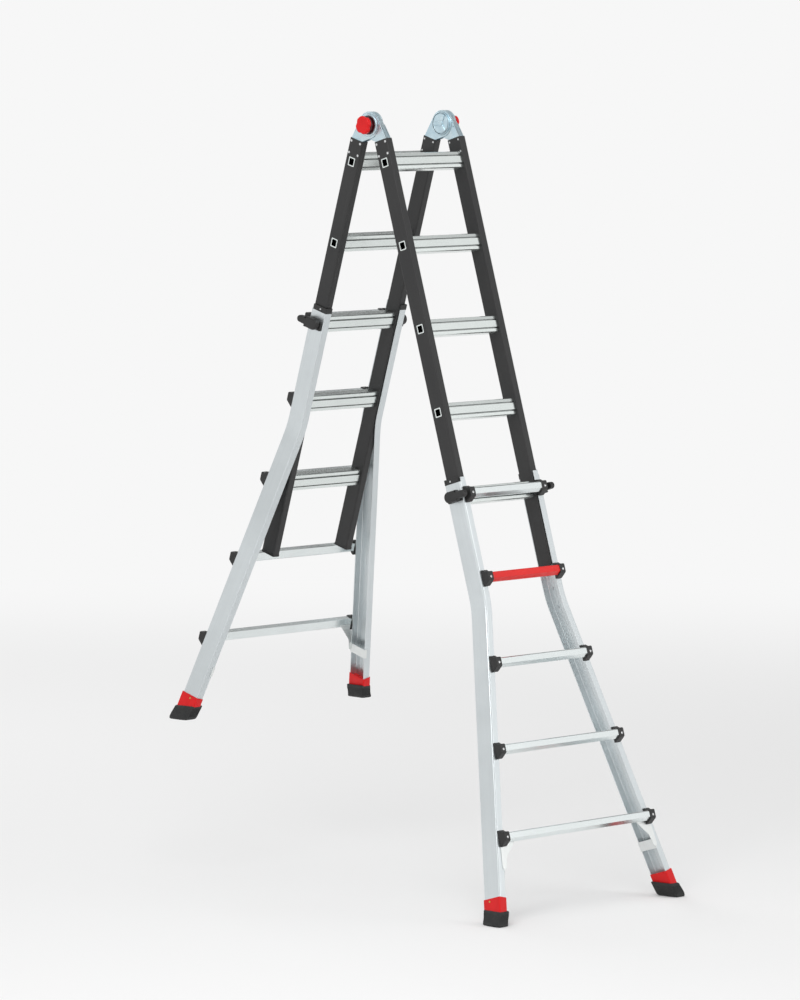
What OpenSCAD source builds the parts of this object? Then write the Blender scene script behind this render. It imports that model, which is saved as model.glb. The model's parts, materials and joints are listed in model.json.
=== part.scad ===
// Multi position ladder: two inner ladders joined at the top by lockable hinges, and two
// flared outer ladders that slide on them and lock at every rung.
// X runs along the rungs, -Y is the front leg, +Y the rear leg and Z is up. The hinge axis is
// parallel to X, and the front shoes stand on z = 0.

/* [Ladder] */
// Angle of each leg from the vertical
half_angle = 16.6; // [14:0.1:18]
// Distance between two rungs along a leg
rung_pitch = 280; // [270:1:290]
// Pitches that the front leg is drawn out
front_steps = 4; // [3:1:4]
// Pitches that the rear leg is drawn out
rear_steps = 2; // [2:1:3]

/* [Inner ladder] */
// Outside width over both inner stiles
inner_width = 376; // [360:1:400]
// Depth of an inner stile, front to back
inner_depth = 58; // [54:1:60]
// Thickness of an inner stile along the rungs
inner_thick = 28; // [26:1:30]
// Wall of an inner stile
inner_wall = 1.8; // [1.6:0.1:2.2]
// Distance from the hinge axis to the first rung along a leg
first_rung = 138; // [136:1:144]
// Length of inner stile below its last rung
inner_tail = 250; // [200:1:252]
// Height of an inner rung
inner_rung_h = 56; // [50:1:58]

/* [Outer ladder] */
// Outside depth of an outer stile, front to back
outer_depth = 68; // [67:1:69]
// Width of an outer stile's flanges
flange_w = 28; // [26:1:30]
// Angle of the flared lower half of an outer stile
flare = 13.3; // [11:0.1:14]
// Distance from the second outer rung to the start of the flare
flare_drop = 83; // [70:1:90]
// Distance from the last outer rung to the sole
last_rung_to_sole = 269; // [262:1:280]

/* [Hinge and locks] */
// Outer radius of a hinge plate's head
hinge_r = 44; // [42:1:45]
// Thickness of a hinge plate
plate_t = 3; // [2.5:0.1:3]
// Width over the lobes of a hinge knob
knob_d = 61; // [56:1:64]
// Distance between the two round ends of a lock handle's grip
grip_reach = 61; // [48:1:66]

/* [Hidden] */
$fn = 48;

front = -1;
rear = 1;
left = -1;
right = 1;
rung_count = 5;
last_rung_at = (rung_count - 1) * rung_pitch;  // first rung to the last one, on either ladder
eps = 0.1;
big = 2000;

// Inner stile, in the leg's own frame: x along the rungs, y outward of the leg, z up the leg
leg_offset = 38;                              // hinge axis to the stile's middle plane
in_x1 = inner_width / 2;                      // outer face of an inner stile
in_x0 = in_x1 - inner_thick;                  // inner face of an inner stile
in_y0 = leg_offset - inner_depth / 2;
in_top = 62;                                  // hinge axis to the stile's top end
in_end = first_rung + last_rung_at + inner_tail;
in_edge_r = 4.5;

// Square ends of the inner rungs
neck_y = 24;
neck_z = 26;
neck_wall = 1.7;
neck_r = 3;
rim = 1.8;
rim_t = 1;
rung_face = 20;                               // half depth of an inner rung over its band
rung_wall = 2;
rung_end_t = 3;                               // wall between the rung's body and its neck
band = 12;                                    // half height of the band
groove_h = 4;
groove_d = 5.5;

// Hinge rivets
rivet_r = 2.5;
rivet_head_r = 4.3;
rivet_head_t = 1.2;
rivet_tail_r = 3.4;                           // the head on the rung's side
rivet_rows = [71, 111];
rivet_y = 20.3;

// Outer stile
web_gap = 1.6;                                // inner stile's face to the outer stile's web
web_t = 3;
flange_t = 2.4;
out_x1 = in_x1 + web_gap + web_t;             // outer face of the web
out_x0 = out_x1 - flange_w;
out_y0 = leg_offset - outer_depth / 2;
out_y1 = leg_offset + outer_depth / 2;
out_edge_r = 7;
out_back_r = 3;
out_top = -43;                                // top of the web, from the first outer rung
tab_top = -58;                                // top of the front flange
bend_r = 300;                                 // bend radius at the web's outer face
bend_tangent = bend_r * tan(flare / 2);
bend_start = rung_pitch + flare_drop - bend_tangent;
bend_x = out_x1 + bend_r;
bend_lap = 0.1;                               // lap of the bend over its neighbours, degrees
sole_at = last_rung_at + last_rung_to_sole;   // first outer rung to the sole, at mid depth
flared_end = 66;                              // lower end of the stile above the sole
collar_up = 22;                               // foot collar above the stile's lower end
collar_down = 60;                             // and below it, before the shoe cuts it off
collar_wall = 3;
guide_wall = 3.6;                             // beside the inner stile
guide_h = 18;
shoe_h = 46;
// Length of the flared straight stretch, to just inside the foot collar
flared_len = (sole_at - flared_end - rung_pitch - flare_drop) / cos(flare) - bend_tangent;

// Outer rungs and their brackets
bracket_in = 20;                              // web's outer face to a bracket's rivet
rung_y0 = out_y1 + 2;
rung_y1 = out_y1 + 28;
bracket_y1 = out_y1 + 30.4;
bracket_w = 25;
bracket_cap = 6;                              // bracket beyond the rung's end

// Hinge
plate_gap = 0.3;
plate_out = in_x1 - inner_wall;               // outermost face of the outer hinge plates
plate_in = in_x0 + inner_wall;                // innermost face of the inner hinge plates
tang_w = inner_depth - 2 * in_edge_r;
tang_end = 120;
cheek_gap = 1.2;                              // rear plate's head to the front plate's cheek
cheek_y = 18;                                 // corner of the cheek next to the other leg
cheek_top = 12;
rim_wall = 3;                                 // wall that closes a front hinge half
bush_r = 11;
bush_run = 0.05;
flange_r = 15;
shaft_r = 6;
lock_pin_r = 4.5;
lock_pin_at = 26;
lock_turn = 100;                              // of the first lock pin, in the rear leg's frame
ring_r = 37.5;                                // rolled ring round the knob
ring_in = 29;
ring_t = 3.5;
cup_r = 35.5;                                 // raised rim round the lock spider
cup_h = 7;
spider_x = in_x0 - 7;                         // inner face of the lock spider
spider_t = 6;
spider_disc_r = 33.5;
knob_x0 = plate_out + 8.4;                    // open end of the knob's skirt
knob_head_x = plate_out + 18.8;               // back of the knob's lobes
knob_x1 = plate_out + 31.8;                   // face of the knob

// Slide locks
housing_t = 8;
housing_y = [-30, 33];                        // its ends, from the lock pin
housing_z = [-18.5, 11];
grip_x0 = out_x1 + housing_t;
grip_t = 19;
grip_h = 37;                                  // of the grip's rear block
grip_neck_h = 23;                             // of the neck ahead of it
grip_back = 7;                                // lock pin to the middle of the rear round end
grip_block = 32;                              // from there to the end of the block's full height
grip_taper = 8;
lock_pin_slide_r = 6;
stem_r = 8;
stem_run = 0.1;

// Height of the hinge axis, and its place along Y that puts the footprint's middle at y = 0
hinge_h = (first_rung + front_steps * rung_pitch + sole_at) * cos(half_angle)
    - leg_offset * sin(half_angle);
hinge_y = (front_steps - rear_steps) * rung_pitch * sin(half_angle) / 2;

function steps(side) = side == front ? front_steps : rear_steps;
// Height of the sole plane of a leg above the ground
function sole_z(side) = (front_steps - steps(side)) * rung_pitch * cos(half_angle);
// Rivet line of outer rung i (1 to 5), measured from the middle of the ladder
function bracket_x(i) =
    out_x1 - bracket_in + max(0, (i - 2) * rung_pitch - flare_drop) * tan(flare);

// ---------------------------------------------------------------- frames

// A leg's own frame, with the hinge axis as its x axis
module leg(side) {
    translate([0, hinge_y, hinge_h])
        mirror([0, side == front ? 1 : 0, 0])
            rotate([half_angle, 0, 0])
                children();
}

// A leg's frame moved down to its first outer rung
module outer_leg(side) {
    leg(side)
        translate([0, 0, -first_rung - steps(side) * rung_pitch])
            children();
}

// Children are drawn on the +X side and go to the side asked for
module on_side(x_side) {
    mirror([x_side == left ? 1 : 0, 0, 0])
        children();
}

// The frame of an outer stile's flared stretch, with z = 0 at the end of the bend
module flared() {
    translate([bend_x, 0, -bend_start])
        rotate([0, -flare, 0])
            translate([-bend_x, 0, 0])
                children();
}

// ---------------------------------------------------------------- profiles

// Rectangle from the origin with four round corners
module round_rect(w, d, r) {
    translate([r, 0])
        square([w - 2 * r, d]);
    translate([0, r])
        square([w, d - 2 * r]);
    for (x = [r, w - r], y = [r, d - r])
        translate([x, y])
            circle(r);
}

module inner_stile_profile() {
    difference() {
        translate([in_x0, in_y0])
            round_rect(inner_thick, inner_depth, in_edge_r);
        translate([in_x0 + inner_wall, in_y0 + inner_wall])
            round_rect(inner_thick - 2 * inner_wall, inner_depth - 2 * inner_wall,
                       in_edge_r - inner_wall);
    }
}

// Channel that is open towards the middle of the ladder, with three grooves inside its web
module outer_stile_profile() {
    groove_w = 9;
    groove_step = 17;
    difference() {
        union() {
            translate([out_x0, out_y0])
                square([flange_w - out_edge_r, outer_depth]);
            translate([out_x0, out_y0 + out_back_r])
                square([flange_w, outer_depth - out_back_r - out_edge_r]);
            translate([out_x1 - out_edge_r - eps, out_y0])
                square([out_edge_r - out_back_r + eps, out_back_r + eps]);
            translate([out_x1 - out_edge_r, out_y1 - out_edge_r])
                circle(out_edge_r);
            translate([out_x1 - out_back_r, out_y0 + out_back_r])
                circle(out_back_r);
        }
        channel_hollow_profile();
        for (k = [-1, 0, 1])
            translate([out_x1 - web_t - eps, leg_offset + k * groove_step - groove_w / 2])
                square([1 + eps, groove_w]);
    }
}

// The channel's section in the bend, a hair larger so that it laps over both straight stretches
module bend_profile() {
    middle = [out_x0 + flange_w / 2, leg_offset];
    translate(middle)
        scale(1.0008)
            translate(-middle)
                outer_stile_profile();
}

// The hollow of the outer stile's channel
module channel_hollow_profile() {
    corner_r = 3.5;
    hollow_y = out_y0 + flange_t;
    hollow_d = outer_depth - 2 * flange_t;
    translate([out_x0 - eps, hollow_y])
        square([flange_w - web_t - corner_r + eps, hollow_d]);
    translate([out_x0 - eps, hollow_y + corner_r])
        square([flange_w - web_t + eps, hollow_d - 2 * corner_r]);
    for (y = [hollow_y + corner_r, hollow_y + hollow_d - corner_r])
        translate([out_x1 - web_t - corner_r, y])
            circle(corner_r);
}

// Section of an inner rung: a raised band between two grooves on both faces, and a ribbed top
module inner_rung_profile() {
    h = inner_rung_h / 2;
    difference() {
        both_faces([
            [rung_face - 7, h], [rung_face - 3, h - 2.5], [rung_face - 2.2, band + groove_h],
            [rung_face - groove_d, band + groove_h - 0.6], [rung_face - groove_d, band],
            [rung_face, band - 0.8]
        ]);
        for (y = [-9:6:9])
            translate([y - 1.5, h - 1.2])
                square([3, 2]);
    }
}

// The inside of that section, one wall thickness smaller
module inner_rung_hollow_profile() {
    h = inner_rung_h / 2 - rung_wall - 1.2;
    y = rung_face - rung_wall;
    both_faces([
        [y - 5.6, h], [y - 3, h - 1.2], [y - 2.4, band + groove_h + rung_wall],
        [y - groove_d, band + groove_h + rung_wall - 0.6], [y - groove_d, band - rung_wall],
        [y, band - rung_wall - 0.8]
    ]);
}

// Polygon from the points of its upper front quarter
module both_faces(quarter) {
    up = len(quarter) - 1;
    front_face = concat(quarter, [for (k = [up:-1:0]) [quarter[k][0], -quarter[k][1]]]);
    polygon(concat(front_face, [for (k = [2 * up + 1:-1:0]) [-front_face[k][0], front_face[k][1]]]));
}

// Section of an outer rung, from its back at y = 0: flat tread, front face and lower chamfer
module outer_rung_profile(shrink) {
    d = rung_y1 - rung_y0;
    translate([shrink, 0])
        polygon([
            [0, 13.5 - shrink], [1.5, 15 - shrink], [d - 3 - 2 * shrink, 15 - shrink],
            [d - 2 * shrink, 12 - shrink], [d - 2 * shrink, shrink - 6],
            [d - 14 - shrink, shrink - 16], [3, shrink - 16], [0, shrink - 12]
        ]);
}

// Bell-shaped side of a rung bracket, standing on the stile's flange at y = 0
module bracket_profile() {
    d = bracket_y1 - out_y1;
    polygon([
        [0, 25], [3, 26], [7, 25.5], [12, 21.5], [17, 18.6], [d - 3, 18], [d, 15.5],
        [d, -9.5], [d - 2, -12.5], [d - 12, -19.5], [12, -23.5], [7, -27], [3, -27.5],
        [0, -26.5]
    ]);
}

// ---------------------------------------------------------------- inner ladders

module rivet_places() {
    for (s = rivet_rows, y = [-rivet_y, rivet_y])
        translate([0, leg_offset + y, -s])
            rotate([0, 90, 0])
                children();
}

module inner_stile(side, x_side) {
    color("#2f3030")
        leg(side)
            on_side(x_side)
                difference() {
                    translate([0, 0, -in_end])
                        linear_extrude(in_end - in_top)
                            inner_stile_profile();
                    for (i = [0:rung_count - 1])
                        translate([in_x0 - eps, leg_offset, -first_rung - i * rung_pitch])
                            neck_bar(inner_thick + 2 * eps, 0);
                    rivet_places()
                        cylinder(r = rivet_r, h = big, center = true);
                }
}

// Square bar along +X with the outside of a rung's neck, grown by g
module neck_bar(length, g) {
    rotate([90, 0, 90])
        linear_extrude(length)
            translate([-neck_y / 2 - g, -neck_z / 2 - g])
                round_rect(neck_y + 2 * g, neck_z + 2 * g, neck_r);
}

module inner_rung(side, i) {
    color("silver")
        leg(side)
            translate([0, leg_offset, -first_rung - (i - 1) * rung_pitch])
                difference() {
                    union() {
                        difference() {
                            rotate([90, 0, 90])
                                linear_extrude(2 * in_x0, center = true)
                                    inner_rung_profile();
                            rotate([90, 0, 90])
                                linear_extrude(2 * (in_x0 - rung_end_t), center = true)
                                    inner_rung_hollow_profile();
                        }
                        for (x_side = [left, right])
                            on_side(x_side) {
                                translate([in_x0 - rung_end_t / 2, 0, 0])
                                    neck_bar(inner_thick + rung_end_t / 2, 0);
                                translate([in_x1, 0, 0])
                                    neck_bar(rim_t, rim);
                            }
                    }
                    translate([-big / 2, 0, 0])
                        neck_bar(big, -neck_wall);
                }
}

// Plugs that close the lower ends of the inner stiles and run in the outer channels
module inner_end_plugs(side) {
    plug_h = 24;
    dent = [7, 12];
    lip = 1;
    lip_h = 6;
    color("#1c1c1d")
        leg(side)
            for (x_side = [left, right])
                on_side(x_side)
                    translate([0, 0, -in_end])
                        difference() {
                            union() {
                                translate([in_x0 + inner_wall, in_y0 + inner_wall, 0])
                                    linear_extrude(plug_h)
                                        round_rect(inner_thick - 2 * inner_wall,
                                                   inner_depth - 2 * inner_wall,
                                                   in_edge_r - inner_wall);
                                translate([in_x0 - lip, in_y0 - lip, -lip_h])
                                    linear_extrude(lip_h)
                                        round_rect(inner_thick + 2 * lip,
                                                   inner_depth + 2 * lip, in_edge_r);
                            }
                            translate([in_x0 + dent[0], in_y0 + dent[1], -lip_h - eps])
                                cube([inner_thick - 2 * dent[0], inner_depth - 2 * dent[1],
                                      plug_h / 2]);
                        }
}

// ---------------------------------------------------------------- hinges

// Direction of the tangent to the head from the strip's corner at y, from straight down
function tangent_turn(y, sign) = atan2(y, in_top) + sign * acos(hinge_r / norm([y, in_top]));

// Head and neck of a hinge plate: a disc on the axis run into a strip in the stile
module plate_outline() {
    y0 = leg_offset - tang_w / 2;
    y1 = leg_offset + tang_w / 2;
    a0 = tangent_turn(y0, -1);
    a1 = tangent_turn(y1, 1);
    circle(hinge_r, $fn = 96);
    polygon([
        [0, 0], hinge_r * [sin(a0), -cos(a0)], [y0, -in_top], [y0, -tang_end],
        [y1, -tang_end], [y1, -in_top], hinge_r * [sin(a1), -cos(a1)]
    ]);
}

// Room inside the wall that closes a front hinge half
module rim_hollow() {
    y0 = leg_offset - tang_w / 2;
    y1 = leg_offset + tang_w / 2;
    a0 = tangent_turn(y0, -1);
    a1 = tangent_turn(y1, 1);
    r = 0.9 * hinge_r;
    wall = 1.3 * rim_wall;
    circle(hinge_r - rim_wall, $fn = 96);
    polygon([
        [0, 0], r * [sin(a0), -cos(a0)], [y0 + wall, -in_top - 1],
        [y1 - wall, -in_top - 1], r * [sin(a1), -cos(a1)]
    ]);
}

// Part of the front plate's neck that the rear plate never reaches, folded or straight
module cheek_outline() {
    difference() {
        intersection() {
            plate_outline();
            translate([cheek_y, -in_top])
                square([big, in_top - cheek_top]);
        }
        circle(hinge_r + cheek_gap, $fn = 96);
    }
}

module plate_slab(x, t = plate_t) {
    translate([x, 0, 0])
        rotate([90, 0, 90])
            linear_extrude(t)
                children();
}

module strip_above(s) {
    difference() {
        children();
        translate([-big / 2, -big - s])
            square([big, big]);
    }
}

// Three holes or pins on the lock circle, turned by an angle
module lock_circle(turn) {
    for (k = [0:2])
        rotate([turn + 120 * k + lock_turn, 0, 0])
            translate([0, lock_pin_at, 0])
                rotate([0, 90, 0])
                    children();
}

// The rear leg's plates are the outer pair of each hinge
module rear_hinge_plates(x_side) {
    color("#c3d6de")
        leg(rear)
            on_side(x_side)
                difference() {
                    union() {
                        plate_slab(plate_out - plate_t)
                            plate_outline();
                        plate_slab(plate_in)
                            plate_outline();
                        along_x(plate_out)
                            cylinder(r = ring_r, h = ring_t, $fn = 96);
                        along_x(plate_in - cup_h)
                            cylinder(r = cup_r + 2.5, h = cup_h, $fn = 96);
                    }
                    rotate([0, 90, 0])
                        cylinder(r = bush_r + bush_run, h = big, center = true);
                    along_x(plate_out)
                        cylinder(r = ring_in, h = big, $fn = 96);
                    along_x(plate_in - big)
                        cylinder(r = cup_r, h = big, $fn = 96);
                    rivet_places()
                        cylinder(r = rivet_r, h = big, center = true);
                    intersection() {
                        lock_circle(0)
                            cylinder(r = lock_pin_r + bush_run, h = big, center = true);
                        translate([0, -hinge_r, -hinge_r])
                            cube([plate_in + plate_t + 1, 2 * hinge_r, 2 * hinge_r]);
                    }
                }
}

// The front leg's plates turn inside the rear pair. Past the rear plates' heads they are
// thicker, flush with the rear pair, and a wall round the edge closes the hinge.
module front_hinge_plates(x_side) {
    head_out = plate_out - 2 * plate_t - plate_gap;
    head_in = plate_in + plate_t + plate_gap;
    shift = plate_t + plate_gap;
    color("#c3d6de")
        leg(front)
            on_side(x_side)
                difference() {
                    union() {
                        plate_slab(head_out)
                            strip_above(in_top)
                                plate_outline();
                        plate_slab(head_in)
                            strip_above(in_top)
                                plate_outline();
                        plate_slab(head_out + shift)
                            stile_strip();
                        plate_slab(head_in - shift)
                            stile_strip();
                        plate_slab(head_out, plate_t + shift)
                            cheek_outline();
                        plate_slab(head_in - shift, plate_t + shift)
                            cheek_outline();
                        plate_slab(head_in + plate_t - eps, head_out - head_in - plate_t + 2 * eps)
                            difference() {
                                strip_above(in_top)
                                    plate_outline();
                                rim_hollow();
                            }
                    }
                    rotate([0, 90, 0])
                        cylinder(r = bush_r + bush_run, h = big, center = true);
                    rivet_places()
                        cylinder(r = rivet_r, h = big, center = true);
                    // Working positions: folded flat, standing and straight
                    for (opening = [0, 2 * half_angle, 180])
                        intersection() {
                            lock_circle(-20 - opening)
                                cylinder(r = lock_pin_r + bush_run, h = big, center = true);
                            translate([0, -hinge_r, -hinge_r])
                                cube([head_in + plate_t + 1, 2 * hinge_r, 2 * hinge_r]);
                        }
                }
}

// Strip in the stile's top, run a little into the neck above it
module stile_strip() {
    lap = 1;
    translate([leg_offset - tang_w / 2, -tang_end])
        square([tang_w, tang_end - in_top + lap]);
}

module hinge_rivets(side) {
    color("#d9dadb")
        leg(side)
            for (x_side = [left, right])
                on_side(x_side)
                    rivet_places() {
                        translate([0, 0, in_x0 - rivet_head_t])
                            cylinder(r = rivet_r, h = inner_thick + 2 * rivet_head_t);
                        translate([0, 0, in_x1])
                            cylinder(r1 = rivet_head_r, r2 = rivet_head_r - 1.2,
                                     h = rivet_head_t);
                        translate([0, 0, in_x0 - rivet_head_t])
                            cylinder(r1 = rivet_tail_r - 1, r2 = rivet_tail_r,
                                     h = rivet_head_t);
                    }
}

module along_x(x) {
    translate([x, 0, 0])
        rotate([0, 90, 0])
            children();
}

// Bushes on the hinge axis that both legs turn on, bored for the lock shafts
module hinge_pivot_bushes() {
    flange_t = 2;
    color("#b9bcc0")
        leg(front)
            for (x_side = [left, right])
                on_side(x_side)
                    difference() {
                        union() {
                            along_x(plate_in - plate_gap)
                                cylinder(r = bush_r, h = plate_out - plate_in + 2 * plate_gap);
                            along_x(plate_in - plate_gap - flange_t)
                                cylinder(r = flange_r, h = flange_t);
                            along_x(plate_out + plate_gap)
                                cylinder(r = flange_r, h = flange_t);
                        }
                        along_x(0)
                            cylinder(r = shaft_r + bush_run, h = big);
                    }
}

// Spring around each lock shaft, between the bush and the inside of the knob
module hinge_springs() {
    wire_r = 0.7;
    coils = 6;
    seat = plate_out + plate_gap + 2;
    color("#8d9094")
        leg(rear)
            for (x_side = [left, right])
                on_side(x_side)
                    along_x(seat + 0.35)
                        rotate_extrude()
                            for (k = [0:coils - 1])
                                translate([shaft_r + 3, wire_r * (1 + 1.7 * k)])
                                    circle(wire_r, $fn = 24);
}

// Four-lobed knob on a shaft, with a hollow skirt behind it
module hinge_knob(x_side) {
    lobe_r = knob_d * 0.27;
    lobe_at = knob_d / 2 - lobe_r;
    skirt_r = 26.5;
    skirt_wall = 3;
    color("#e0262c")
        leg(rear)
            on_side(x_side)
                difference() {
                    union() {
                        along_x(knob_x0)
                            cylinder(r = skirt_r, h = knob_head_x - knob_x0 + eps, $fn = 96);
                        along_x(knob_head_x)
                            linear_extrude(knob_x1 - knob_head_x) {
                                circle(knob_d * 0.41, $fn = 96);
                                for (k = [0:3])
                                    rotate(45 + 90 * k)
                                        translate([lobe_at, 0])
                                            circle(lobe_r, $fn = 64);
                            }
                    }
                    along_x(knob_x0 - eps)
                        cylinder(r = skirt_r - skirt_wall, h = knob_head_x - knob_x0 + eps);
                    along_x(0)
                        cylinder(r = shaft_r, h = knob_x1 - 2);
                }
}

// Lock shaft with a disc and three arms, whose pins stand in the rear leg's inner plate
module lock_spider(x_side) {
    arm_w = 13;
    pad_r = 8;
    hub_r = 9;
    hub_rise = 2;
    root = spider_x + 4;                      // shaft and pins start inside the spider
    color("#b7c9d1")
        leg(rear)
            on_side(x_side) {
                along_x(root)
                    cylinder(r = shaft_r, h = knob_x1 - 2 - root);
                along_x(spider_x - hub_rise)
                    cylinder(r = hub_r, h = spider_t + hub_rise);
                along_x(spider_x + 2)
                    cylinder(r = spider_disc_r, h = spider_t - 2.5, $fn = 96);
                along_x(spider_x)
                    linear_extrude(spider_t)
                        for (k = [0:2])
                            rotate(lock_turn + 90 + 120 * k) {
                                translate([0, -arm_w / 2])
                                    square([lock_pin_at, arm_w]);
                                translate([lock_pin_at, 0])
                                    circle(pad_r);
                            }
                lock_circle(0)
                    translate([0, 0, root])
                        cylinder(r = lock_pin_r, h = plate_in + plate_t - root);
            }
}

// ---------------------------------------------------------------- outer ladders

module outer_stile(side, x_side) {
    color("#cfd6d8")
        outer_leg(side)
            on_side(x_side)
                difference() {
                    union() {
                        translate([0, 0, -bend_start])
                            linear_extrude(bend_start - tab_top)
                                outer_stile_profile();
                        translate([bend_x, 0, -bend_start])
                            rotate([-90, 0, 180])
                                rotate([0, 0, -bend_lap])
                                    rotate_extrude(angle = flare + 2 * bend_lap, $fn = 192)
                                        translate([bend_x, 0])
                                            rotate(180)
                                                bend_profile();
                        flared()
                            translate([0, 0, -flared_len])
                                linear_extrude(flared_len)
                                    outer_stile_profile();
                    }
                    // Above the guide only the front flange goes on
                    translate([out_x0 - eps, out_y0 - eps, -out_top])
                        cube([flange_w + 1, outer_depth - flange_t - 2, big]);
                    translate([out_x1 - out_edge_r, out_y0 - eps, -out_top])
                        cube([out_edge_r + 1, outer_depth + 1, big]);
                    along_x(0)
                        translate([0, leg_offset, 0])
                            cylinder(r = lock_pin_slide_r + stem_run, h = big);
                }
}

module outer_rung(side, i) {
    half = bracket_x(i) + bracket_w / 2 - bracket_cap;
    colour = side == front && i == 2 ? "#e0262c" : "silver";
    color(colour)
        outer_leg(side)
            translate([0, 0, -(i - 1) * rung_pitch])
                difference() {
                    rotate([90, 0, 90])
                        linear_extrude(2 * half, center = true)
                            translate([rung_y0, 0])
                                difference() {
                                    outer_rung_profile(0);
                                    outer_rung_profile(1.8);
                                }
                    bracket_rivet_bores(i);
                }
}

// Bores of the two bracket rivets of outer rung i
module bracket_rivet_bores(i) {
    for (x_side = [left, right])
        translate([x_side * bracket_x(i), rung_y1 - 4, 0])
            rotate([-90, 0, 0])
                cylinder(r = rivet_r, h = 20);
}

// End brackets that carry the outer rungs in front of the stiles' flanges
module rung_brackets(side) {
    color("#232324")
        outer_leg(side)
            for (i = [1:rung_count], x_side = [left, right])
                translate([0, 0, -(i - 1) * rung_pitch])
                    difference() {
                        on_side(x_side)
                            translate([bracket_x(i) - bracket_w / 2, out_y1, 0])
                                rotate([90, 0, 90])
                                    linear_extrude(bracket_w)
                                        bracket_profile();
                        on_side(x_side)
                            translate([0, rung_y0, 0])
                                rotate([90, 0, 90])
                                    linear_extrude(bracket_x(i) + bracket_w / 2 - bracket_cap)
                                        outer_rung_profile(0);
                        bracket_rivet_bores(i);
                    }
}

// Rivets of the rung brackets, and one through each guide and foot collar
module outer_rivets(side) {
    shank = bracket_y1 - rung_y1 + 2;
    color("#d9dadb")
        outer_leg(side) {
            for (i = [1:rung_count], x_side = [left, right])
                translate([x_side * bracket_x(i), bracket_y1 - shank, -(i - 1) * rung_pitch])
                    rotate([-90, 0, 0]) {
                        cylinder(r = rivet_r, h = shank);
                        translate([0, 0, shank])
                            cylinder(r1 = rivet_head_r, r2 = rivet_head_r - 1.2,
                                     h = rivet_head_t);
                    }
            for (x_side = [left, right])
                on_side(x_side) {
                    guide_rivet_place()
                        cylinder(r1 = 3, r2 = 2, h = 1);
                    collar_rivet_place()
                        cylinder(r1 = 3, r2 = 2, h = 1);
                }
        }
}

module guide_rivet_place() {
    translate([in_x1 + web_gap + guide_wall, leg_offset - 7, guide_h / 2 - out_top])
        rotate([0, 90, 0])
            children();
}

module collar_rivet_place() {
    flared()
        translate([out_x1 + collar_wall, leg_offset - 8, -flared_len + 12])
            rotate([0, 90, 0])
                children();
}

// Plastic guides on the upper ends of the outer stiles, round the inner stile's side and back
module stile_guides(side) {
    run = 0.4;
    y0 = out_y0 - 0.7;
    depth = outer_depth - 6;
    corner = 3;
    color("#1c1c1d")
        outer_leg(side)
            for (x_side = [left, right])
                on_side(x_side)
                    translate([0, 0, -out_top])
                        difference() {
                            linear_extrude(guide_h)
                                translate([out_x0, y0])
                                    round_rect_web(in_x1 + web_gap + guide_wall - out_x0,
                                                   depth, corner);
                            translate([out_x0 - eps, in_y0 - run, -eps])
                                cube([in_x1 + web_gap - out_x0 + eps, big, guide_h + 1]);
                        }
}

// Rectangle from the origin with only its far back corner round
module round_rect_web(w, d, r) {
    square([w - r, d]);
    translate([0, r])
        square([w, d - r]);
    translate([w - r, r])
        circle(r);
}

// Pressed braces: a gusset under the last rung and a strap across the channel's mouth
module knee_braces(side) {
    t = 2;
    strap_h = 33;
    strap_drop = 70;                          // last rung to the strap's upper edge
    strap_at = (last_rung_at + strap_drop - rung_pitch - flare_drop) / cos(flare) - bend_tangent;
    color("#d3d9da")
        outer_leg(side)
            for (x_side = [left, right])
                on_side(x_side) {
                    translate([bracket_x(rung_count), out_y1 + t, -last_rung_at])
                        rotate([90, 0, 0])
                            linear_extrude(t)
                                brace_outline();
                    flared()
                        translate([out_x0 - t, out_y0 - t, -strap_at - strap_h])
                            brace_strap(t, strap_h);
                }
}

// Gusset seen square to the leg, from its rung's rivet: it runs behind the rung and into a
// round-ended tab on the flange
module brace_outline() {
    tab_r = 9;
    tab = [12, -92];
    polygon([
        [-66, -6], [-14, -6], [-14, -28.5], [12, -28.5], tab + [tab_r, 0], tab - [tab_r, 0],
        [-8, -62]
    ]);
    translate(tab)
        circle(tab_r);
}

module brace_strap(t, h) {
    lap = 10;
    cube([t, outer_depth + 2 * t, h]);
    cube([lap, t, h]);
}

// Red sleeves on the lower ends of the outer stiles
module foot_collars(side) {
    recess = 10;                              // open depth between the channel's flanges
    color("#e0262c")
        for (x_side = [left, right])
            difference() {
                outer_leg(side)
                    on_side(x_side)
                        flared()
                            difference() {
                                translate([out_x0 - collar_wall, out_y0 - collar_wall,
                                           -flared_len - collar_down])
                                    linear_extrude(collar_down + collar_up)
                                        round_rect(flange_w + 2 * collar_wall,
                                                   outer_depth + 2 * collar_wall, 6);
                                translate([0, 0, -flared_len])
                                    linear_extrude(big)
                                        outer_stile_profile();
                                translate([0, 0, -flared_len + collar_up - recess])
                                    linear_extrude(big)
                                        channel_hollow_profile();
                            }
                translate([-big / 2, -big / 2, sole_z(side) + shoe_h - big])
                    cube([big, big, big]);
            }
}

// Rubber shoes with a level sole, a level top and a toe that points sideways
module foot_shoes(side) {
    grow = 7;
    at_x = out_x1 + (sole_at - rung_pitch - flare_drop) * tan(flare);
    color("#262727")
        for (x_side = [left, right])
            intersection() {
                outer_leg(side)
                    on_side(x_side)
                        translate([0, out_y1 + grow, 0])
                            rotate([90, 0, 0])
                                linear_extrude(outer_depth + grow + collar_wall)
                                    shoe_outline(at_x);
                translate([-big / 2, -big / 2, sole_z(side)])
                    cube([big, big, shoe_h]);
            }
}

// Shoe seen square to the leg, x measured at the sole
module shoe_outline(x) {
    top = -sole_at + 75;
    polygon([
        [x - 50 - 13, top], [x - 13, top], [x + 2, -sole_at + 30], [x + 17, -sole_at + 2],
        [x + 14, -sole_at - 25], [x - 26, -sole_at - 25], [x - 32, -sole_at + 3],
        [x - 42, -sole_at + 22]
    ]);
}

// ---------------------------------------------------------------- slide locks

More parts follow.
